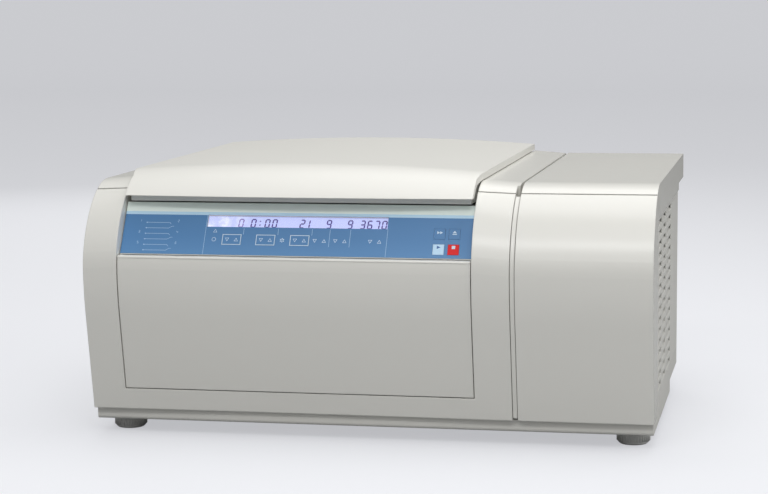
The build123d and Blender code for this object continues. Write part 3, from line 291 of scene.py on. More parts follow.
def _build_brushing(tree: Tree) -> None:
    """Fine parallel lines of rolled or brushed metal.

    Args:
        tree: The group to build.
    """
    sizes = {"Scale": 260.0, "Stretch": 0.03, "Roughness": 0.3, "Spread": 0.08}
    graph, given, out = open_group(tree, sizes, ("Height", "Roughness", "Shade"))
    line_share, broad_share, darkest = 0.7, 0.3, 0.86
    place = graph.place()
    stretch = graph.add("ShaderNodeCombineXYZ", {"X": given["Stretch"], "Y": 1.0, "Z": 1.0}).outputs[0]
    lined = graph.add("ShaderNodeVectorMath", {0: place, 1: stretch}, operation="MULTIPLY").outputs[0]
    lines = graph.noise(lined, given["Scale"], 6.0, Roughness=0.7)
    broad = graph.noise(place, 14.0, 4.0)
    both = graph.math("MULTIPLY_ADD", lines, line_share, graph.math("MULTIPLY", broad, broad_share))
    graph.feed(out, {
        "Height": lines,
        "Roughness": vary_roughness(graph, given, both),
        "Shade": graph.ramp(both, *NOISE_RANGE, darkest, 1.0),
    })


def _build_edges(tree: Tree) -> None:
    """Rounds sharp edges in the shading and marks where they are.

    Args:
        tree: The group to build.
    """
    graph, given, out = open_group(tree, {"Radius": 0.001}, ("Normal", "Edge"))
    least_turn, full_turn = 0.99, 0.72
    rounded = graph.add("ShaderNodeBevel", {"Radius": given["Radius"]}, samples=6).outputs["Normal"]
    true = graph.add("ShaderNodeNewGeometry").outputs["Normal"]
    along = graph.add("ShaderNodeVectorMath", {0: rounded, 1: true}, operation="DOT_PRODUCT").outputs["Value"]
    graph.feed(out, {"Normal": rounded, "Edge": graph.ramp(along, least_turn, full_turn)})


def _build_dust(tree: Tree) -> None:
    """Where dust settles: on faces that look up, in soft patches.

    Args:
        tree: The group to build.
    """
    graph, given, out = open_group(tree, {"Amount": 0.2, "Scale": 30.0}, ("Mask",))
    steepest, flattest = 0.55, 0.98
    thinnest, thickest = 0.35, 0.75
    normal = graph.add("ShaderNodeNewGeometry").outputs["Normal"]
    up = graph.add("ShaderNodeSeparateXYZ", {0: normal}).outputs["Z"]
    patches = graph.noise(graph.place(), given["Scale"], 6.0, Roughness=0.7)
    mask = graph.math("MULTIPLY", graph.ramp(up, steepest, flattest), graph.ramp(patches, thinnest, thickest))
    graph.feed(out, {"Mask": graph.math("MULTIPLY", mask, given["Amount"])})


def new_material(name: str) -> tuple[Material, Graph, Node]:
    """Start a material.

    Args:
        name: Its name.

    Returns:
        The material, its graph and its Principled shader.
    """
    made = bpy.data.materials.new(name)
    made.use_nodes = True
    return made, Graph(made.node_tree), made.node_tree.nodes["Principled BSDF"]


@dataclass(frozen=True)
class Finish:
    """One finish of the machine.

    The grain is in patterns per metre and its height in metres. Edge is the radius to which the shading
    rounds sharp edges. Along them a share of a lighter edge colour shows, a painted highlight.
    """

    name: str
    colour: Colour
    metal: bool = False
    roughness: float = 0.42
    spread: float = 0.06
    grain: float = 900.0
    grain_height: float = 0.00003
    grain_strength: float = 0.6
    mottle: float = 0.035
    edge: float = 0.0
    edge_colour: Colour = (0.9, 0.9, 0.88)
    edge_tone: float = 0.0
    dust: float = 0.08
    dust_colour: Colour = (0.66, 0.65, 0.61)
    dust_roughness: float = 0.4
    specular: float = 0.5
    coat: float = 0.0
    coat_roughness: float = 0.15
    stretch: float = 0.03

    def material(self) -> Material:
        """The finish as a material, built on first use."""
        found = bpy.data.materials.get(self.name)
        return found if found is not None else self._build()

    def _build(self) -> Material:
        """A new material with the finish's nodes."""
        made, graph, shader = new_material(self.name)
        made.diffuse_color = (*self.colour, 1.0)
        texture = self._texture(graph)
        dust = Effect.DUST.node(graph, {"Amount": self.dust}).outputs["Mask"]
        colour = graph.mix(dust, self.base_colour(graph, texture), self.dust_colour)
        bump = {"Height": texture.outputs["Height"], "Strength": self.grain_strength,
                "Distance": self.grain_height}
        if self.edge > 0:
            edges = Effect.EDGES.node(graph, {"Radius": self.edge})
            bump["Normal"] = edges.outputs["Normal"]
            # Painted highlight: a share of the lighter edge colour mixed in along sharp edges.
            tone = graph.math("MULTIPLY", edges.outputs["Edge"], self.edge_tone)
            colour = graph.mix(tone, colour, self.edge_colour)
        dulled = graph.math("MULTIPLY", dust, self.dust_roughness)
        graph.feed(shader, {
            "Base Color": colour,
            "Roughness": graph.math("ADD", texture.outputs["Roughness"], dulled),
            "Normal": graph.add("ShaderNodeBump", bump).outputs["Normal"],
            "Metallic": float(self.metal),
            "Specular IOR Level": self.specular,
            "Coat Weight": self.coat,
            "Coat Roughness": self.coat_roughness,
        })
        return made

    def _texture(self, graph: Graph) -> Node:
        """Place the surface's texture group.

        Args:
            graph: The material's graph.

        Returns:
            The group node.
        """
        values = {"Scale": self.grain, "Roughness": self.roughness, "Spread": self.spread}
        if self.metal:
            return Effect.BRUSHING.node(graph, values | {"Stretch": self.stretch})
        return Effect.GRAIN.node(graph, values | {"Mottle": self.mottle})

    def base_colour(self, graph: Graph, texture: Node) -> Socket:
        """The colour before dust and edges.

        Args:
            graph: The material's graph.
            texture: The surface's texture group.

        Returns:
            The colour socket.
        """
        shades = dict.fromkeys(range(3), texture.outputs["Shade"])
        shade = graph.add("ShaderNodeCombineColor", shades).outputs[0]
        return graph.mix(1.0, self.colour, shade, "MULTIPLY")


@dataclass(frozen=True)
class FoilFinish(Finish):
    """Printed foil in bands that lie across the panel, by height above the panel's lower edge."""

    foot: Point2 = (0.0, 0.0)
    fade_height: float = 30.0 * MM
    fade_share: float = 0.10
    fade_colour: Colour = srgb(120, 168, 210)
    line_start: float = 57.0 * MM
    line_colour: Colour = srgb(186, 220, 242)
    strip_start: float = 61.4 * MM
    strip_colour: Colour = srgb(232, 243, 237)

    def base_colour(self, graph: Graph, texture: Node) -> Socket:
        """Blue field, light line and pale strip.

        Args:
            graph: The material's graph.
            texture: The surface's texture group.

        Returns:
            The colour socket.
        """
        axis = (0.0, math.sin(PANEL_TILT), math.cos(PANEL_TILT))
        reach = graph.add("ShaderNodeVectorMath", {0: graph.place(), 1: axis}, operation="DOT_PRODUCT")
        foot_reach = self.foot[0] * axis[1] + self.foot[1] * axis[2]
        height = graph.math("SUBTRACT", reach.outputs["Value"], foot_reach)
        fade = graph.ramp(height, 0.0, self.fade_height, self.fade_share, 0.0)
        colour = graph.mix(fade, super().base_colour(graph, texture), self.fade_colour)
        for start, band in ((self.line_start, self.line_colour), (self.strip_start, self.strip_colour)):
            colour = graph.mix(graph.math("GREATER_THAN", height, start), colour, band)
        return colour


def membrane(name: str, colour: Colour, roughness: float, **looks: float) -> Finish:
    """The smooth face of a membrane key.

    Args:
        name: The finish's name.
        colour: Its colour.
        roughness: Its roughness.
        **looks: Further fields of the finish.

    Returns:
        The finish.
    """
    return Finish(name, colour, roughness=roughness, grain=1600.0, grain_height=0.00001, dust=0.02, **looks)


def ink(name: str, colour: Colour) -> Finish:
    """Matt printing ink.

    Args:
        name: The finish's name.
        colour: Its colour.

    Returns:
        The finish.
    """
    return Finish(name, colour, roughness=0.5, grain=2000.0, grain_height=0.00001, dust=0.0)


COVER = Finish("satin_cover", srgb(224, 223, 217), roughness=0.26, spread=0.004, mottle=0.006, grain=1400.0,
               grain_height=0.00002, edge=1.6 * MM, edge_colour=srgb(236, 235, 230), edge_tone=0.25,
               dust=0.02)
LID_COVER = replace(COVER, name="satin_lid", colour=srgb(225, 224, 218), roughness=0.40, edge=1.4 * MM,
                    edge_colour=srgb(238, 237, 232))
SEAL = Finish("dark_seal", srgb(52, 53, 55), roughness=0.62, grain=800.0, dust=0.12)
FOOT = Finish("grey_foot", srgb(214, 214, 211), roughness=0.7, grain=500.0, grain_height=0.00006, mottle=0.12,
              edge=1.2 * MM, dust=0.1)
ALUMINIUM = Finish("mill_aluminium", (0.70, 0.71, 0.72), metal=True, roughness=0.38, grain=240.0,
                   stretch=0.1, edge=0.4 * MM, edge_tone=0.2, dust=0.05)
FOIL_BLUE = srgb(74, 127, 178)
WHITE_INK = ink("white_ink", srgb(206, 226, 242))
PALE_INK = ink("pale_ink", srgb(170, 202, 230))
BLUE_INK = ink("blue_ink", srgb(40, 96, 160))
DIGIT_INK = ink("digit_segments", srgb(66, 30, 150))
FAINT_INK = ink("faint_segments", srgb(160, 142, 210))

NODE_FINISHES: dict[str, Finish] = {
    "cover_plastic": COVER, "seal_rubber": SEAL, "foot_rubber": FOOT, "aluminium": ALUMINIUM,
    "painted_sheet": Finish(
        "powder_coat", srgb(221, 220, 214), roughness=0.45, spread=0.02, grain=700.0,
        grain_height=0.00004, edge=0.5 * MM, dust=0.03),
    "grey_liner": Finish(
        "liner_plastic", srgb(232, 232, 227), roughness=0.5, grain=1100.0, edge=1.0 * MM, dust=0.03),
    "tray_paint": Finish(
        "tray_coat", srgb(216, 215, 209), roughness=0.48, spread=0.02, grain=600.0,
        grain_height=0.00005, edge=0.8 * MM, dust=0.05),
    "chassis_paint": Finish(
        "chassis_coat", srgb(96, 98, 102), roughness=0.55, grain=600.0, edge=0.8 * MM, dust=0.3),
    "board": Finish("circuit_board", srgb(28, 84, 52), roughness=0.4, grain=500.0, dust=0.1),
    "stainless": Finish(
        "brushed_stainless", (0.62, 0.62, 0.61), metal=True, roughness=0.26, grain=300.0,
        grain_height=0.00001, edge=0.8 * MM, edge_colour=(0.8, 0.8, 0.8), edge_tone=0.3, dust=0.0),
    "steel": Finish(
        "zinc_steel", (0.52, 0.53, 0.54), metal=True, roughness=0.4, grain=180.0, grain_height=0.00002,
        stretch=0.3, edge=0.5 * MM, edge_colour=(0.75, 0.75, 0.75), edge_tone=0.4, dust=0.05),
    "foam": Finish(
        "insulating_foam", srgb(222, 208, 160), roughness=0.9, grain=260.0, grain_height=0.0004, mottle=0.2),
    "copper": Finish(
        "drawn_copper", (0.72, 0.36, 0.20), metal=True, roughness=0.32, grain=200.0, stretch=0.2,
        dust=0.0),
    "mount_rubber": Finish("damper_rubber", srgb(34, 34, 34), roughness=0.75, grain=500.0, dust=0.2),
    "motor_paint": Finish(
        "black_enamel", srgb(30, 30, 32), roughness=0.35, grain=400.0, dust=0.2, edge=0.8 * MM),
    "rotor_alloy": Finish(
        "anodised_rotor", (0.40, 0.42, 0.44), metal=True, roughness=0.34, grain=420.0,
        grain_height=0.00001, stretch=0.6, edge=1.2 * MM, edge_colour=(0.62, 0.63, 0.64), edge_tone=0.5,
        dust=0.0),
    "bucket_alloy": Finish(
        "anodised_bucket", (0.50, 0.52, 0.54), metal=True, roughness=0.4, grain=500.0, stretch=0.7,
        edge=1.0 * MM, edge_colour=(0.7, 0.7, 0.7), edge_tone=0.5, dust=0.0),
    "black_plastic": Finish(
        "dark_moulding", srgb(30, 30, 31), roughness=0.45, grain=900.0, edge=0.5 * MM, dust=0.06),
    "chrome_rod": Finish(
        "polished_rod", (0.82, 0.82, 0.83), metal=True, roughness=0.08, spread=0.02, grain=300.0,
        grain_height=0.000002, dust=0.0),
    "cylinder_paint": Finish(
        "cylinder_enamel", srgb(26, 26, 28), roughness=0.28, grain=500.0, dust=0.05, coat=0.3),
    "key_field": membrane("membrane_field", FOIL_BLUE, 0.42, mottle=0.02),
    "key_blue": membrane("start_face", srgb(190, 222, 246), 0.4),
    "key_red": membrane("stop_face", srgb(224, 8, 14), 0.38, specular=0.3),
}


def close_mesh(build: bmesh.types.BMesh, name: str) -> bpy.types.Mesh:
    """Turn an edited mesh into a plain one and free it.

    Args:
        build: The edited mesh.
        name: The plain mesh's name.

    Returns:
        The plain mesh.
    """
    mesh = bpy.data.meshes.new(name)
    build.to_mesh(mesh)
    build.free()
    return mesh


def link_mesh(name: str, mesh: bpy.types.Mesh, material: Material) -> bpy.types.Object:
    """Put a finished mesh into the scene.

    Args:
        name: The piece's name.
        mesh: Its mesh, already in place.
        material: Its only material.

    Returns:
        The new object.
    """
    mesh.materials.clear()
    mesh.materials.append(material)
    made = bpy.data.objects.new(name, mesh)
    bpy.context.scene.collection.objects.link(made)
    return made


class Housing:
    """Gives every solid that keeps its shape the finish of its material slot."""

    def __init__(self) -> None:
        """Read which slot each node has."""
        self.slots = {part["node"]: part["material_slot"] for part in frame["record"]["subparts"]}

    def dress(self) -> None:
        """Give each node its finish."""
        for name, node in frame["nodes"].items():
            finish = LID_COVER if name == "lid_shell" else NODE_FINISHES.get(self.slots[name])
            if finish is None:
                continue
            for slot in node.material_slots:
                slot.material = finish.material()
        log.info("dressed %d nodes", len(frame["nodes"]))


@dataclass
class PanelPlane:
    """The sloping control panel's own axes: x to the right, v up the panel, and depth below its face."""

    tilt: float = PANEL_TILT
    foil: float = 0.5
    margin: float = 0.2
    foot: Vector = field(init=False)

    def __post_init__(self) -> None:
        """Find the panel's lower edge from the foil."""
        low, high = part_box("control_foil")
        back = self.foil * MM
        lower = Vector(((low.x + high.x) / 2, low.y, low.z + back * math.sin(self.tilt)))
        self.foot = lower - self.up * self.margin * MM

    @property
    def up(self) -> Vector:
        """Direction up the panel."""
        return Vector((0.0, math.sin(self.tilt), math.cos(self.tilt)))

    @property
    def outward(self) -> Vector:
        """Direction out of the panel's face."""
        return Vector((0.0, -math.cos(self.tilt), math.sin(self.tilt)))

    def place(self, x: float, v: float, depth: float = 0.0) -> Vector:
        """A point of the panel.

        Args:
            x: Millimetres right of the panel's middle.
            v: Millimetres up from its lower edge.
            depth: Millimetres below its face.

        Returns:
            The point in the row frame, in metres.
        """
        return self.foot + Vector((x * MM, 0.0, 0.0)) + self.up * v * MM - self.outward * depth * MM


@dataclass
class Print:
    """Flat shapes on the panel, built up as outlines and turned into one thin raised mesh."""

    plane: PanelPlane
    depth: float = 0.0
    thickness: float = 0.05
    least_mitre: float = 0.35
    shapes: list[list[Point2]] = field(default_factory=list)

    def fill(self, *points: Point2) -> None:
        """Add a filled outline.

        Args:
            *points: The outline's points.
        """
        self.shapes.append(list(points))

    def line(self, points: Sequence[Point2], width: float, closed: bool = False) -> None:
        """Add a line of even width with mitred corners.

        Args:
            points: The line's points.
            width: Its width.
            closed: Whether it runs back to its start.
        """
        count = len(points)
        sides: list[tuple[Point2, Point2]] = []
        for n, (x, y) in enumerate(points):
            before = points[n - 1] if n > 0 or closed else None
            after = points[(n + 1) % count] if n < count - 1 or closed else None
            first = Vector((x - before[0], y - before[1])).normalized() if before else None
            second = Vector((after[0] - x, after[1] - y)).normalized() if after else first
            first = first or second
            middle = (first + second).normalized()
            stretch = width / 2 / max(self.least_mitre, middle.dot(second))
            across = Vector((-middle.y, middle.x)) * stretch
            sides.append(((x + across.x, y + across.y), (x - across.x, y - across.y)))
        last = count if closed else count - 1
        for n in range(last):
            (a, b), (c, d) = sides[n], sides[(n + 1) % count]
            self.shapes.append([a, c, d, b])

    def piece(self, name: str, finish: Finish, body: str, slot: str) -> bpy.types.Object:
        """Turn the shapes into a piece.

        Args:
            name: The piece's name.
            finish: Its finish.
            body: The body that carries it.
            slot: Not used.

        Returns:
            The piece.
        """
        build = bmesh.new()
        top = self.depth - self.thickness
        for shape in self.shapes:
            lower = [build.verts.new(self.plane.place(x, v, self.depth)) for x, v in shape]
            upper = [build.verts.new(self.plane.place(x, v, top)) for x, v in shape]
            build.faces.new(lower)
            build.faces.new(upper)
            for n in range(len(shape)):
                follow = (n + 1) % len(shape)
                build.faces.new((lower[n], lower[follow], upper[follow], upper[n]))
        bmesh.ops.recalc_face_normals(build, faces=build.faces)
        made = link_mesh(name, close_mesh(build, name), finish.material())
        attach(made, body)
        log.info("printed %s with %d shapes", name, len(self.shapes))
        return made


@dataclass(frozen=True)
class Digit:
    """A digit of seven mitred segments, which leans to the right by a share of its height."""

    height: float = 12.8
    width: float = 7.0
    stroke: float = 1.7
    lean: float = 0.10
    gap_share: float = 0.05

    def _ends(self) -> dict[str, tuple[Point2, Point2]]:
        """Start and end of each segment's middle line."""
        right, top = self.width - self.stroke, self.height - self.stroke
        middle = top / 2
        return {"a": ((0, top), (right, top)), "b": ((right, middle), (right, top)),
                "c": ((right, 0), (right, middle)), "d": ((0, 0), (right, 0)), "e": ((0, 0), (0, middle)),
                "f": ((0, middle), (0, top)), "g": ((0, middle), (right, middle))}

    def draw(self, target: Print, text: str, x: float, v: float) -> None:
        """Add one digit to a print.

        Args:
            target: The print.
            text: The digit.
            x: Its left side.
            v: Its foot.
        """
        half = self.stroke / 2
        gap = self.stroke * self.gap_share
        ends = self._ends()
        for segment in DIGIT_SEGMENTS[text]:
            (x0, y0), (x1, y1) = ends[segment]
            level = y0 == y1
            start, end, side = (x0, x1, y0) if level else (y0, y1, x0)
            near, far = start + half + gap, end - half - gap
            outline = [(start + gap, side), (near, side + half), (far, side + half),
                       (end - gap, side), (far, side - half), (near, side - half)]
            if not level:
                outline = [(across, along) for along, across in outline]
            target.fill(*[(x + half + px + py * self.lean, v + half + py) for px, py in outline])


def polar(centre: Point2, radius: float, degrees: float) -> Point2:
    """A point round a centre.

    Args:
        centre: The centre.
        radius: Its distance from there.
        degrees: Its angle from the right, turning left.

    Returns:
        The point.
    """
    angle = math.radians(degrees)
    return centre[0] + radius * math.cos(angle), centre[1] + radius * math.sin(angle)


@dataclass(frozen=True)
class Display:
    """The lit display with a painted reflection, a cloudy glare at its left end, and the clear window before
    it.
    """

    cell_scale: float = 1500.0
    cell_share: float = 0.9
    cell_colour: Colour = srgb(176, 183, 226)
    gap_colour: Colour = srgb(190, 197, 236)
    glare_full: float = 8.0 * MM
    glare_gone: float = 62.0 * MM
    glare_cloud: Point2 = (0.32, 0.62)
    glare_share: float = 0.85
    glare_colour: Colour = srgb(244, 245, 252)
    light: float = 0.55
    roughness: float = 0.6
    window_colour: Colour = srgb(214, 218, 244)
    window_alpha: float = 0.05
    smear: Point2 = (0.3, 0.8)
    smear_roughness: Point2 = (0.06, 0.14)

    def glow(self, left: float) -> Material:
        """The lit face.

        Args:
            left: Where its left end is, in metres.

        Returns:
            The material.
        """
        made, graph, shader = new_material("display_glow")
        place = graph.place()
        across = graph.add("ShaderNodeSeparateXYZ", {0: place}).outputs["X"]
        cells = graph.add("ShaderNodeTexVoronoi", {"Vector": place, "Scale": self.cell_scale},
                          distance="CHEBYCHEV").outputs["Distance"]
        # Painted reflection: a cloudy whitish glare mixed into the lit colour towards the left end, so it
        # glows too.
        nearness = graph.ramp(across, left + self.glare_gone, left + self.glare_full)
        cloud = graph.ramp(graph.noise(place, 60.0, 3.0), *self.glare_cloud)
        glare = graph.math("MULTIPLY", graph.math("MULTIPLY", nearness, cloud), self.glare_share)
        tone = graph.mix(graph.ramp(cells, 0.0, self.cell_share), self.cell_colour, self.gap_colour)
        tone = graph.mix(glare, tone, self.glare_colour)
        graph.feed(shader, {"Base Color": tone, "Emission Color": tone, "Emission Strength": self.light,
                            "Roughness": self.roughness})
        return made

    def window(self) -> Material:
        """The clear window, faintly smeared."""
        made, graph, shader = new_material("clear_window")
        smear = graph.noise(graph.place(), 40.0, 4.0)
        graph.feed(shader, {"Roughness": graph.ramp(smear, *self.smear, *self.smear_roughness),
                            "Base Color": (*self.window_colour, 1.0), "Alpha": self.window_alpha})
        made.surface_render_method = "BLENDED"
        return made


@dataclass
class ControlPanel:
    """The printed panel: foil, display figures, key signs and rotor chart, in millimetres from its middle."""

    plane: PanelPlane = field(default_factory=PanelPlane)
    key_proud: float = 0.2
    display_left: float = -121.0
    display_depth: float = 4.2
    figure_foot: float = 41.4
    faint_figure_x: float = -80.2
    figures: tuple[tuple[str, float], ...] = (
        ("0", -63.6), ("0", -44.8), ("0", -35.0), ("2", 2.2), ("1", 9.0), ("9", 37.8), ("9", 66.0),
        ("3", 82.6), ("6", 92.2), ("7", 101.8), ("0", 111.4))
    colon_feet: Point2 = (44.6, 50.0)
    pads: tuple[tuple[str, float], ...] = (
        ("speed_keys", -85.3), ("time_keys", -39.7), ("temperature_keys", 5.9))
    pad_v: float = 22.1
    pad_size: Point2 = (24.6, 14.1)
    pad_line: float = 0.9
    free_pairs: tuple[Point2, ...] = ((26.2, 38.6), (53.5, 65.8), (99.4, 111.6))
    arrow_offset: float = 6.1
    arrow_half: float = 2.3
    arrow_rise: float = 2.1
    arrow_line: float = 0.55
    ring_x: float = -109.2
    ring_radius: float = 2.6
    star_x: float = -17.3
    star_radii: Point2 = (1.1, 3.1)
    divider_half: float = 0.25
    dividers: tuple[Point3, ...] = (
        (-121.9, 0.4, 57.0), (121.4, 0.4, 40.4), (-70.2, 29.6, 38.6), (-23.8, 29.6, 38.6), (21.6, 29.6, 38.6),
        (45.4, 13.6, 38.6), (72.6, 13.6, 38.6))
    chart_rows: int = 6
    chart_top: float = 45.3
    chart_step: float = 8.0
    chart_number_x: Point2 = (-213.6, -161.6)
    chart_number_v: Point3 = (46.0, 30.0, 14.4)

    def build(self) -> None:
        """Make every piece of the panel."""
        self._foil()
        self._window()
        self._figures()
        self._pads()
        self._free_signs()
        self._chart()
        self._keys()

    def _foil(self) -> None:
        """Print the foil's bands."""
        foil = FoilFinish("printed_foil", FOIL_BLUE, roughness=0.4, grain=1600.0, grain_height=0.00001,
                          mottle=0.02, dust=0.02, foot=(self.plane.foot.y, self.plane.foot.z))
        for slot in frame["nodes"]["control_foil"].material_slots:
            slot.material = foil.material()

    def _window(self) -> None:
        """Light the display from behind and clear its window."""
        display = Display()
        glow = display.glow(self.plane.place(self.display_left, 0).x)
        for node, material in (("display_module", glow), ("display_window", display.window())):
            for slot in frame["nodes"][node].material_slots:
                slot.material = material

    def _figures(self) -> None:
        """The display's figures: speed, time, temperature, two ramps and a rotor number."""
        digit = Digit()
        figures = Print(self.plane, self.display_depth)
        for text, x in self.figures:
            digit.draw(figures, text, x, self.figure_foot)
        for v in self.colon_feet:
            figures.fill((-51.6, v), (-50.0, v), (-49.8, v + 1.7), (-51.4, v + 1.7))
        figures.piece("display_figures", DIGIT_INK, "housing", "display_body")
        faint = Print(self.plane, self.display_depth)
        digit.draw(faint, "0", self.faint_figure_x, self.figure_foot)
        faint.piece("display_figure_faint", FAINT_INK, "housing", "display_body")

    def _arrow(self, target: Print, x: float, v: float, up: bool) -> None:
        """Add an outlined arrow.

        Args:
            target: The print.
            x: The arrow's middle.
            v: Its middle height.
            up: Whether it points up.
        """
        rise = self.arrow_rise if up else -self.arrow_rise
        outline = [(x - self.arrow_half, v - rise), (x + self.arrow_half, v - rise), (x, v + rise)]
        target.line(outline, self.arrow_line, closed=True)

    def _pads(self) -> None:
        """The framed arrow pairs on the three double keys."""
        wide, high = self.pad_size
        for body, x in self.pads:
            face = Print(self.plane, -self.key_proud)
            frame_line = [(x - wide / 2, self.pad_v - high / 2), (x + wide / 2, self.pad_v - high / 2),
                          (x + wide / 2, self.pad_v + high / 2), (x - wide / 2, self.pad_v + high / 2)]
            face.line(frame_line, self.pad_line, closed=True)
            self._arrow(face, x - self.arrow_offset, self.pad_v, up=False)
            self._arrow(face, x + self.arrow_offset, self.pad_v, up=True)
            face.piece(body + "_signs", WHITE_INK, body, "key_field")

    def _free_signs(self) -> None:
        """Arrows without a frame, a ring, a small triangle, a star and the dividing lines."""
        signs = Print(self.plane)
        for pair in self.free_pairs:
            for x, up in zip(pair, (False, True)):
                self._arrow(signs, x, self.pad_v, up)
        ring = [polar((self.ring_x, self.pad_v), self.ring_radius, a) for a in range(0, 360, 30)]
        signs.line(ring, 0.5, closed=True)
        signs.line([(-111.0, 32.4), (-106.4, 32.4), (-108.7, 36.6)], 0.45, closed=True)
        for degrees in range(30, 360, 60):
            signs.line([polar((self.star_x, self.pad_v), radius, degrees) for radius in self.star_radii], 1.1)
        signs.piece("loose_signs", WHITE_INK, "housing", "blue_foil")
        lines = Print(self.plane)
        for x, low, high in self.dividers:
            left, right = x - self.divider_half, x + self.divider_half
            lines.fill((left, low), (right, low), (right, high), (left, high))
        lines.piece("dividing_lines", PALE_INK, "housing", "blue_foil")

    def _chart(self) -> None:
        """A chart of six plain lines with numbered ends."""
        chart = Print(self.plane)
        for row in range(self.chart_rows):
            v = self.chart_top - self.chart_step * row
            chart.line([(-203.2, v), (-171.6 - row % 2, v)], 0.55)
            chart.fill((-204.9, v), (-203.4, v - 0.9), (-201.9, v), (-203.4, v + 0.9))
            if row % 2:
                chart.line([(-172.9, v), (-168.4, v + 2.8), (-165.8, v + 2.8)], 0.5)
            else:
                chart.line([(-171.9, v), (-170.2, v - 2.2)], 0.5)
        small = Digit(height=3.6, width=2.2, stroke=0.5, lean=0.05)
        for number, (v, x) in enumerate(product(self.chart_number_v, self.chart_number_x), start=1):
            small.draw(chart, str(number), x, v)
        chart.piece("load_chart", PALE_INK, "housing", "blue_foil")

    def _keys(self) -> None:
        """Signs on the four square keys."""
        triangle = ((187.6, 13.4), (192.4, 15.6), (187.6, 17.8))
        square = ((207.0, 13.6), (211.4, 13.6), (211.4, 18.0), (207.0, 18.0))
        first, second = [((x, 34.3), (x + 3.6, 36.3), (x, 38.3)) for x in (186.4, 190.2)]
        bar = ((206.4, 33.6), (212.0, 33.6), (212.0, 34.9), (206.4, 34.9))
        roof = ((206.6, 35.9), (211.8, 35.9), (209.2, 39.2))
        for name, colour, body, slot, shapes in (
                ("start_sign", BLUE_INK, "start_key", "key_blue", (triangle,)),
                ("stop_sign", WHITE_INK, "stop_key", "key_red", (square,)),
                ("quick_run_sign", WHITE_INK, "quick_run_key", "key_field", (first, second)),
                ("lid_sign", WHITE_INK, "lid_key", "key_field", (bar, roof))):
            sign = Print(self.plane, -self.key_proud)
            for shape in shapes:
                sign.fill(*shape)
            sign.piece(name, colour, body, slot)


class NodesPiece:
    """A piece grown by a geometry node tree that is built here and then made a plain mesh."""

    def __init__(self, name: str, sizes: dict[str, float | int]) -> None:
        """Start a tree that has only its inputs.

        Args:
            name: The piece's name.
            sizes: The tree's named sizes.
        """
        self.name = name
        self.tree = bpy.data.node_groups.new(name + "_tree", "GeometryNodeTree")
        for direction in ("INPUT", "OUTPUT"):
            self.tree.interface.new_socket("Geometry", in_out=direction, socket_type="NodeSocketGeometry")
        self.values: dict[str, float | int] = {}
        for size, value in sizes.items():
            kind = "NodeSocketInt" if isinstance(value, int) else "NodeSocketFloat"
            socket = self.tree.interface.new_socket(size, in_out="INPUT", socket_type=kind)
            self.values[socket.identifier] = value
        self.graph = Graph(self.tree)
        self.given = self.graph.add("NodeGroupInput").outputs

    def scatter(self, points: Socket, shape: Socket) -> Socket:
        """Put a copy of a shape on each point.

        Args:
            points: The points.
            shape: The shape.

        Returns:
            The copies' socket.
        """
        inputs = {"Points": points, "Instance": shape}
        return self.graph.add("GeometryNodeInstanceOnPoints", inputs).outputs[0]

    def finish(self, shape: Socket, points: Sequence[Vector], finish: Finish, body: str,
               slot: str) -> bpy.types.Object:
        """Close the tree, run it and keep its result.

        Args:
            shape: The grown shape.
            points: Where the tree grows its shape: the base mesh's vertices.
            finish: The piece's finish.
            body: The body that carries it.
            slot: Not used.

        Returns:
            The piece.
        """
        real = self.graph.add("GeometryNodeRealizeInstances", {0: shape})
        dressed = self.graph.add("GeometryNodeSetMaterial", {"Geometry": real.outputs[0],
                                                             "Material": finish.material()})
        self.graph.add("NodeGroupOutput", {0: dressed.outputs[0]})
        seed = bpy.data.meshes.new(self.name + "_points")
        seed.from_pydata([tuple(p) for p in points], [], [])
        base = bpy.data.objects.new(self.name + "_base", seed)
        bpy.context.scene.collection.objects.link(base)
        modifier = base.modifiers.new("grow", "NODES")
        modifier.node_group = self.tree
        for identifier, value in self.values.items():
            modifier[identifier] = value
        bpy.context.view_layer.update()
        grown = base.evaluated_get(bpy.context.evaluated_depsgraph_get())
        mesh = bpy.data.meshes.new_from_object(grown)
        mesh.name = self.name
        bpy.data.objects.remove(base)
        made = link_mesh(self.name, mesh, finish.material())
        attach(made, body)
        log.info("grew %s, %d faces", self.name, len(mesh.polygons))
        return made


@dataclass
class Feet:
    """Grip ribs round the four rubber feet."""

    reach: float = 21.6 * MM
    radius: float = 21.3 * MM
    rib_radius: float = 0.75 * MM
    rib_sides: int = 10
    rib_height: float = 11.0 * MM
    rib_middle: float = 9.5 * MM
    count: int = 36

    def build(self) -> None:
        """Grow a ring of upright ribs on each foot."""
        low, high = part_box("rubber_feet")
        centres = [Vector((x, y, self.rib_middle)) for x in (low.x + self.reach, high.x - self.reach)
                   for y in (low.y + self.reach, high.y - self.reach)]
        piece = NodesPiece("foot_grip_ribs", {"Ribs": self.count, "Ring Radius": self.radius,
                                              "Rib Radius": self.rib_radius, "Rib Height": self.rib_height})
        graph, given = piece.graph, piece.given
        ring = graph.add("GeometryNodeMeshCircle", {
            "Vertices": given["Ribs"], "Radius": given["Ring Radius"]})
        rib = graph.add("GeometryNodeMeshCylinder", {
            "Vertices": self.rib_sides, "Radius": given["Rib Radius"], "Depth": given["Rib Height"]})
        smooth = graph.add("GeometryNodeSetShadeSmooth", {0: rib.outputs["Mesh"]})
        feet = piece.scatter(given["Geometry"], piece.scatter(ring.outputs[0], smooth.outputs[0]))
        piece.finish(feet, centres, FOOT, "housing", "foot_rubber")


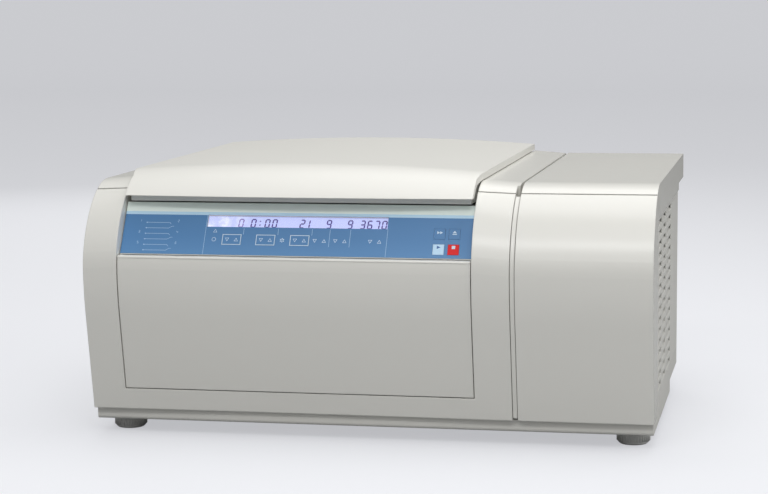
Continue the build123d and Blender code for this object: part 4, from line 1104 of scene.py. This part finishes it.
@dataclass
class CondenserFins:
    """Thin cooling fins between the condenser's tubes, seen through the louvres."""

    count: int = 108
    thickness: float = 0.25 * MM
    margin: float = 9.0 * MM
    side_gap: float = 1.0 * MM

    def build(self) -> None:
        """Grow one row of fins along the condenser."""
        low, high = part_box("condenser")
        piece = NodesPiece("condenser_fin_pack", {
            "Fins": self.count, "Pitch": (high.y - low.y - 2 * self.margin) / (self.count - 1),
            "Thickness": self.thickness, "Depth": high.x - low.x - self.side_gap,
            "Height": high.z - low.z - 2 * self.margin})
        graph, given = piece.graph, piece.given
        step = graph.add("ShaderNodeCombineXYZ", {"X": 0.0, "Y": given["Pitch"], "Z": 0.0})
        row = graph.add("GeometryNodeMeshLine", {"Count": given["Fins"], "Offset": step.outputs[0]})
        size = graph.add("ShaderNodeCombineXYZ", {
            "X": given["Depth"], "Y": given["Thickness"], "Z": given["Height"]})
        fin = graph.add("GeometryNodeMeshCube", {"Size": size.outputs[0]})
        pack = piece.scatter(given["Geometry"], piece.scatter(row.outputs[0], fin.outputs[0]))
        start = Vector(((low.x + high.x) / 2, low.y + self.margin, (low.z + high.z) / 2))
        piece.finish(pack, [start], ALUMINIUM, "housing", "aluminium")


@dataclass
class ChamberSeal:
    """The soft seal round the chamber's mouth: a bead with two lips, swept round the mouth.

    The section is in shares of its width, inwards, and of its height.
    """

    width: float = 10.0 * MM
    steps: int = 192
    section: tuple[Point2, ...] = (
        (0.0, 0.0), (0.0, 0.45), (0.12, 0.72), (0.24, 0.98), (0.38, 0.98), (0.46, 0.66), (0.54, 0.66),
        (0.62, 0.98), (0.76, 0.98), (0.88, 0.72), (1.0, 0.45), (1.0, 0.0))

    def build(self) -> None:
        """Sweep the seal's section and let it stand for the solid one."""
        low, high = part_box("chamber_gasket")
        centre = Vector(((low.x + high.x) / 2, (low.y + high.y) / 2, low.z))
        outer = (high.x - low.x) / 2
        height = high.z - low.z
        build = bmesh.new()
        rings: list[list[bmesh.types.BMVert]] = []
        for n in range(self.steps):
            angle = 2 * math.pi * n / self.steps
            radii = [outer - self.width * inward for inward, _ in self.section]
            rings.append([
                build.verts.new(centre + Vector((r * math.cos(angle), r * math.sin(angle), height * rise)))
                for r, (_, rise) in zip(radii, self.section)])
        for n in range(self.steps):
            here, after = rings[n], rings[(n + 1) % self.steps]
            for k in range(len(self.section)):
                follow = (k + 1) % len(self.section)
                build.faces.new((here[k], after[k], after[follow], here[follow]))
        bmesh.ops.recalc_face_normals(build, faces=build.faces)
        mesh = close_mesh(build, "chamber_seal")
        mesh.shade_smooth()
        made = link_mesh("chamber_seal", mesh, SEAL.material())
        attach(made, "housing")
        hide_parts("chamber_gasket")
        log.info("swept the chamber seal")


@dataclass(frozen=True)
class Lamp:
    """A soft rectangular lamp: its place, what it points at, its size and its power in watts."""

    name: str
    place: Point3
    target: Point3
    size: Point2
    power: float
    mirrored: bool = True

    def stand(self) -> None:
        """Put the lamp into the scene. Glossy surfaces show it only when it is mirrored."""
        light = bpy.data.lights.new(self.name, "AREA")
        light.shape = "RECTANGLE"
        light.size, light.size_y = self.size
        light.energy = self.power
        lamp = bpy.data.objects.new(self.name, light)
        lamp.location = self.place
        lamp.visible_glossy = self.mirrored
        lamp.rotation_euler = (Vector(self.target) - Vector(self.place)).to_track_quat("-Z", "Y").to_euler()
        bpy.context.scene.collection.objects.link(lamp)


@dataclass
class Studio:
    """Plain floor and far backdrop, soft lamps and the camera at the photograph's angle."""

    camera_place: Point3 = (0.56535, -2.9451, 0.59037)
    camera_turn: Point3 = (83.0727, 0.4550, 11.3752)
    lens: float = 99.834
    sensor: float = 36.0
    floor_reach: float = 9.0
    floor_half: float = 16.0
    sweep: float = 1.5
    sweep_step: int = 10
    wall_height: float = 9.0
    floor_colour: Colour = srgb(158, 159, 161)
    floor_roughness: float = 0.85
    lift: float = 0.58
    lift_colour: Colour = srgb(236, 237, 242)
    world_light: float = 0.34
    lamps: tuple[Lamp, ...] = (
        Lamp("key_lamp", (0.4, -2.15, 2.0), (0.0, 0.0, 0.2), (2.2, 2.2), 18.0),
        Lamp("front_lamp", (0.1, -2.5, 2.25), (0.0, -0.25, 0.25), (2.4, 0.36), 20.0),
        Lamp("top_lamp", (0.2, 0.5, 2.6), (0.0, 0.1, 0.2), (2.4, 2.4), 35.5),
        Lamp("side_lamp", (2.4, -0.4, 1.3), (0.1, 0.0, 0.2), (1.6, 1.6), 17.0),
        Lamp("back_lamp", (-1.4, 2.6, 1.5), (0.0, 0.2, 0.2), (1.8, 1.8), 14.0, mirrored=False))

    def build(self) -> None:
        """Build the stage."""
        self._floor()
        self._camera()
        for lamp in self.lamps:
            lamp.stand()
        self._world()
        bpy.context.scene.view_settings.view_transform = "Standard"

    def _floor(self) -> None:
        """A floor that curves up into a backdrop. The camera sees it a little lighter than it is lit."""
        outline = [(-self.floor_reach, 0.0), (self.floor_reach, 0.0)]
        for degrees in range(self.sweep_step, 91, self.sweep_step):
            angle = math.radians(degrees)
            outline.append((self.floor_reach + self.sweep * math.sin(angle),
                            self.sweep - self.sweep * math.cos(angle)))
        outline.append((self.floor_reach + self.sweep, self.wall_height))
        build = bmesh.new()
        rows = [[build.verts.new((x, y, z)) for x in (-self.floor_half, self.floor_half)] for y, z in outline]
        for here, after in zip(rows, rows[1:]):
            build.faces.new((here[0], here[1], after[1], after[0]))
        mesh = close_mesh(build, "floor")
        mesh.shade_smooth()
        material, graph, shader = new_material("floor_paper")
        seen = graph.add("ShaderNodeLightPath").outputs["Is Camera Ray"]
        graph.feed(shader, {"Base Color": (*self.floor_colour, 1.0), "Roughness": self.floor_roughness,
                            "Emission Strength": graph.math("MULTIPLY", seen, self.lift),
                            "Emission Color": (*self.lift_colour, 1.0)})
        link_mesh("floor", mesh, material)

    def _camera(self) -> None:
        """The camera at the photograph's place."""
        lens = bpy.data.cameras.new("camera")
        lens.lens = self.lens
        lens.sensor_width = self.sensor
        camera = bpy.data.objects.new("camera", lens)
        camera.location = self.camera_place
        camera.rotation_euler = tuple(math.radians(a) for a in self.camera_turn)
        bpy.context.scene.collection.objects.link(camera)
        bpy.context.scene.camera = camera

    def _world(self) -> None:
        """Even white light from all round."""
        world = bpy.data.worlds.new("studio")
        world.use_nodes = True
        background = world.node_tree.nodes["Background"]
        background.inputs["Color"].default_value = (1.0, 1.0, 1.0, 1.0)
        background.inputs["Strength"].default_value = self.world_light
        bpy.context.scene.world = world


def main() -> None:
    """Dress the machine and set the stage."""
    logging.basicConfig(level=logging.INFO, format="%(name)s: %(message)s")
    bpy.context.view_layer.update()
    Housing().dress()
    ControlPanel().build()
    Feet().build()
    CondenserFins().build()
    ChamberSeal().build()
    Studio().build()


if __name__ == "__main__":
    main()
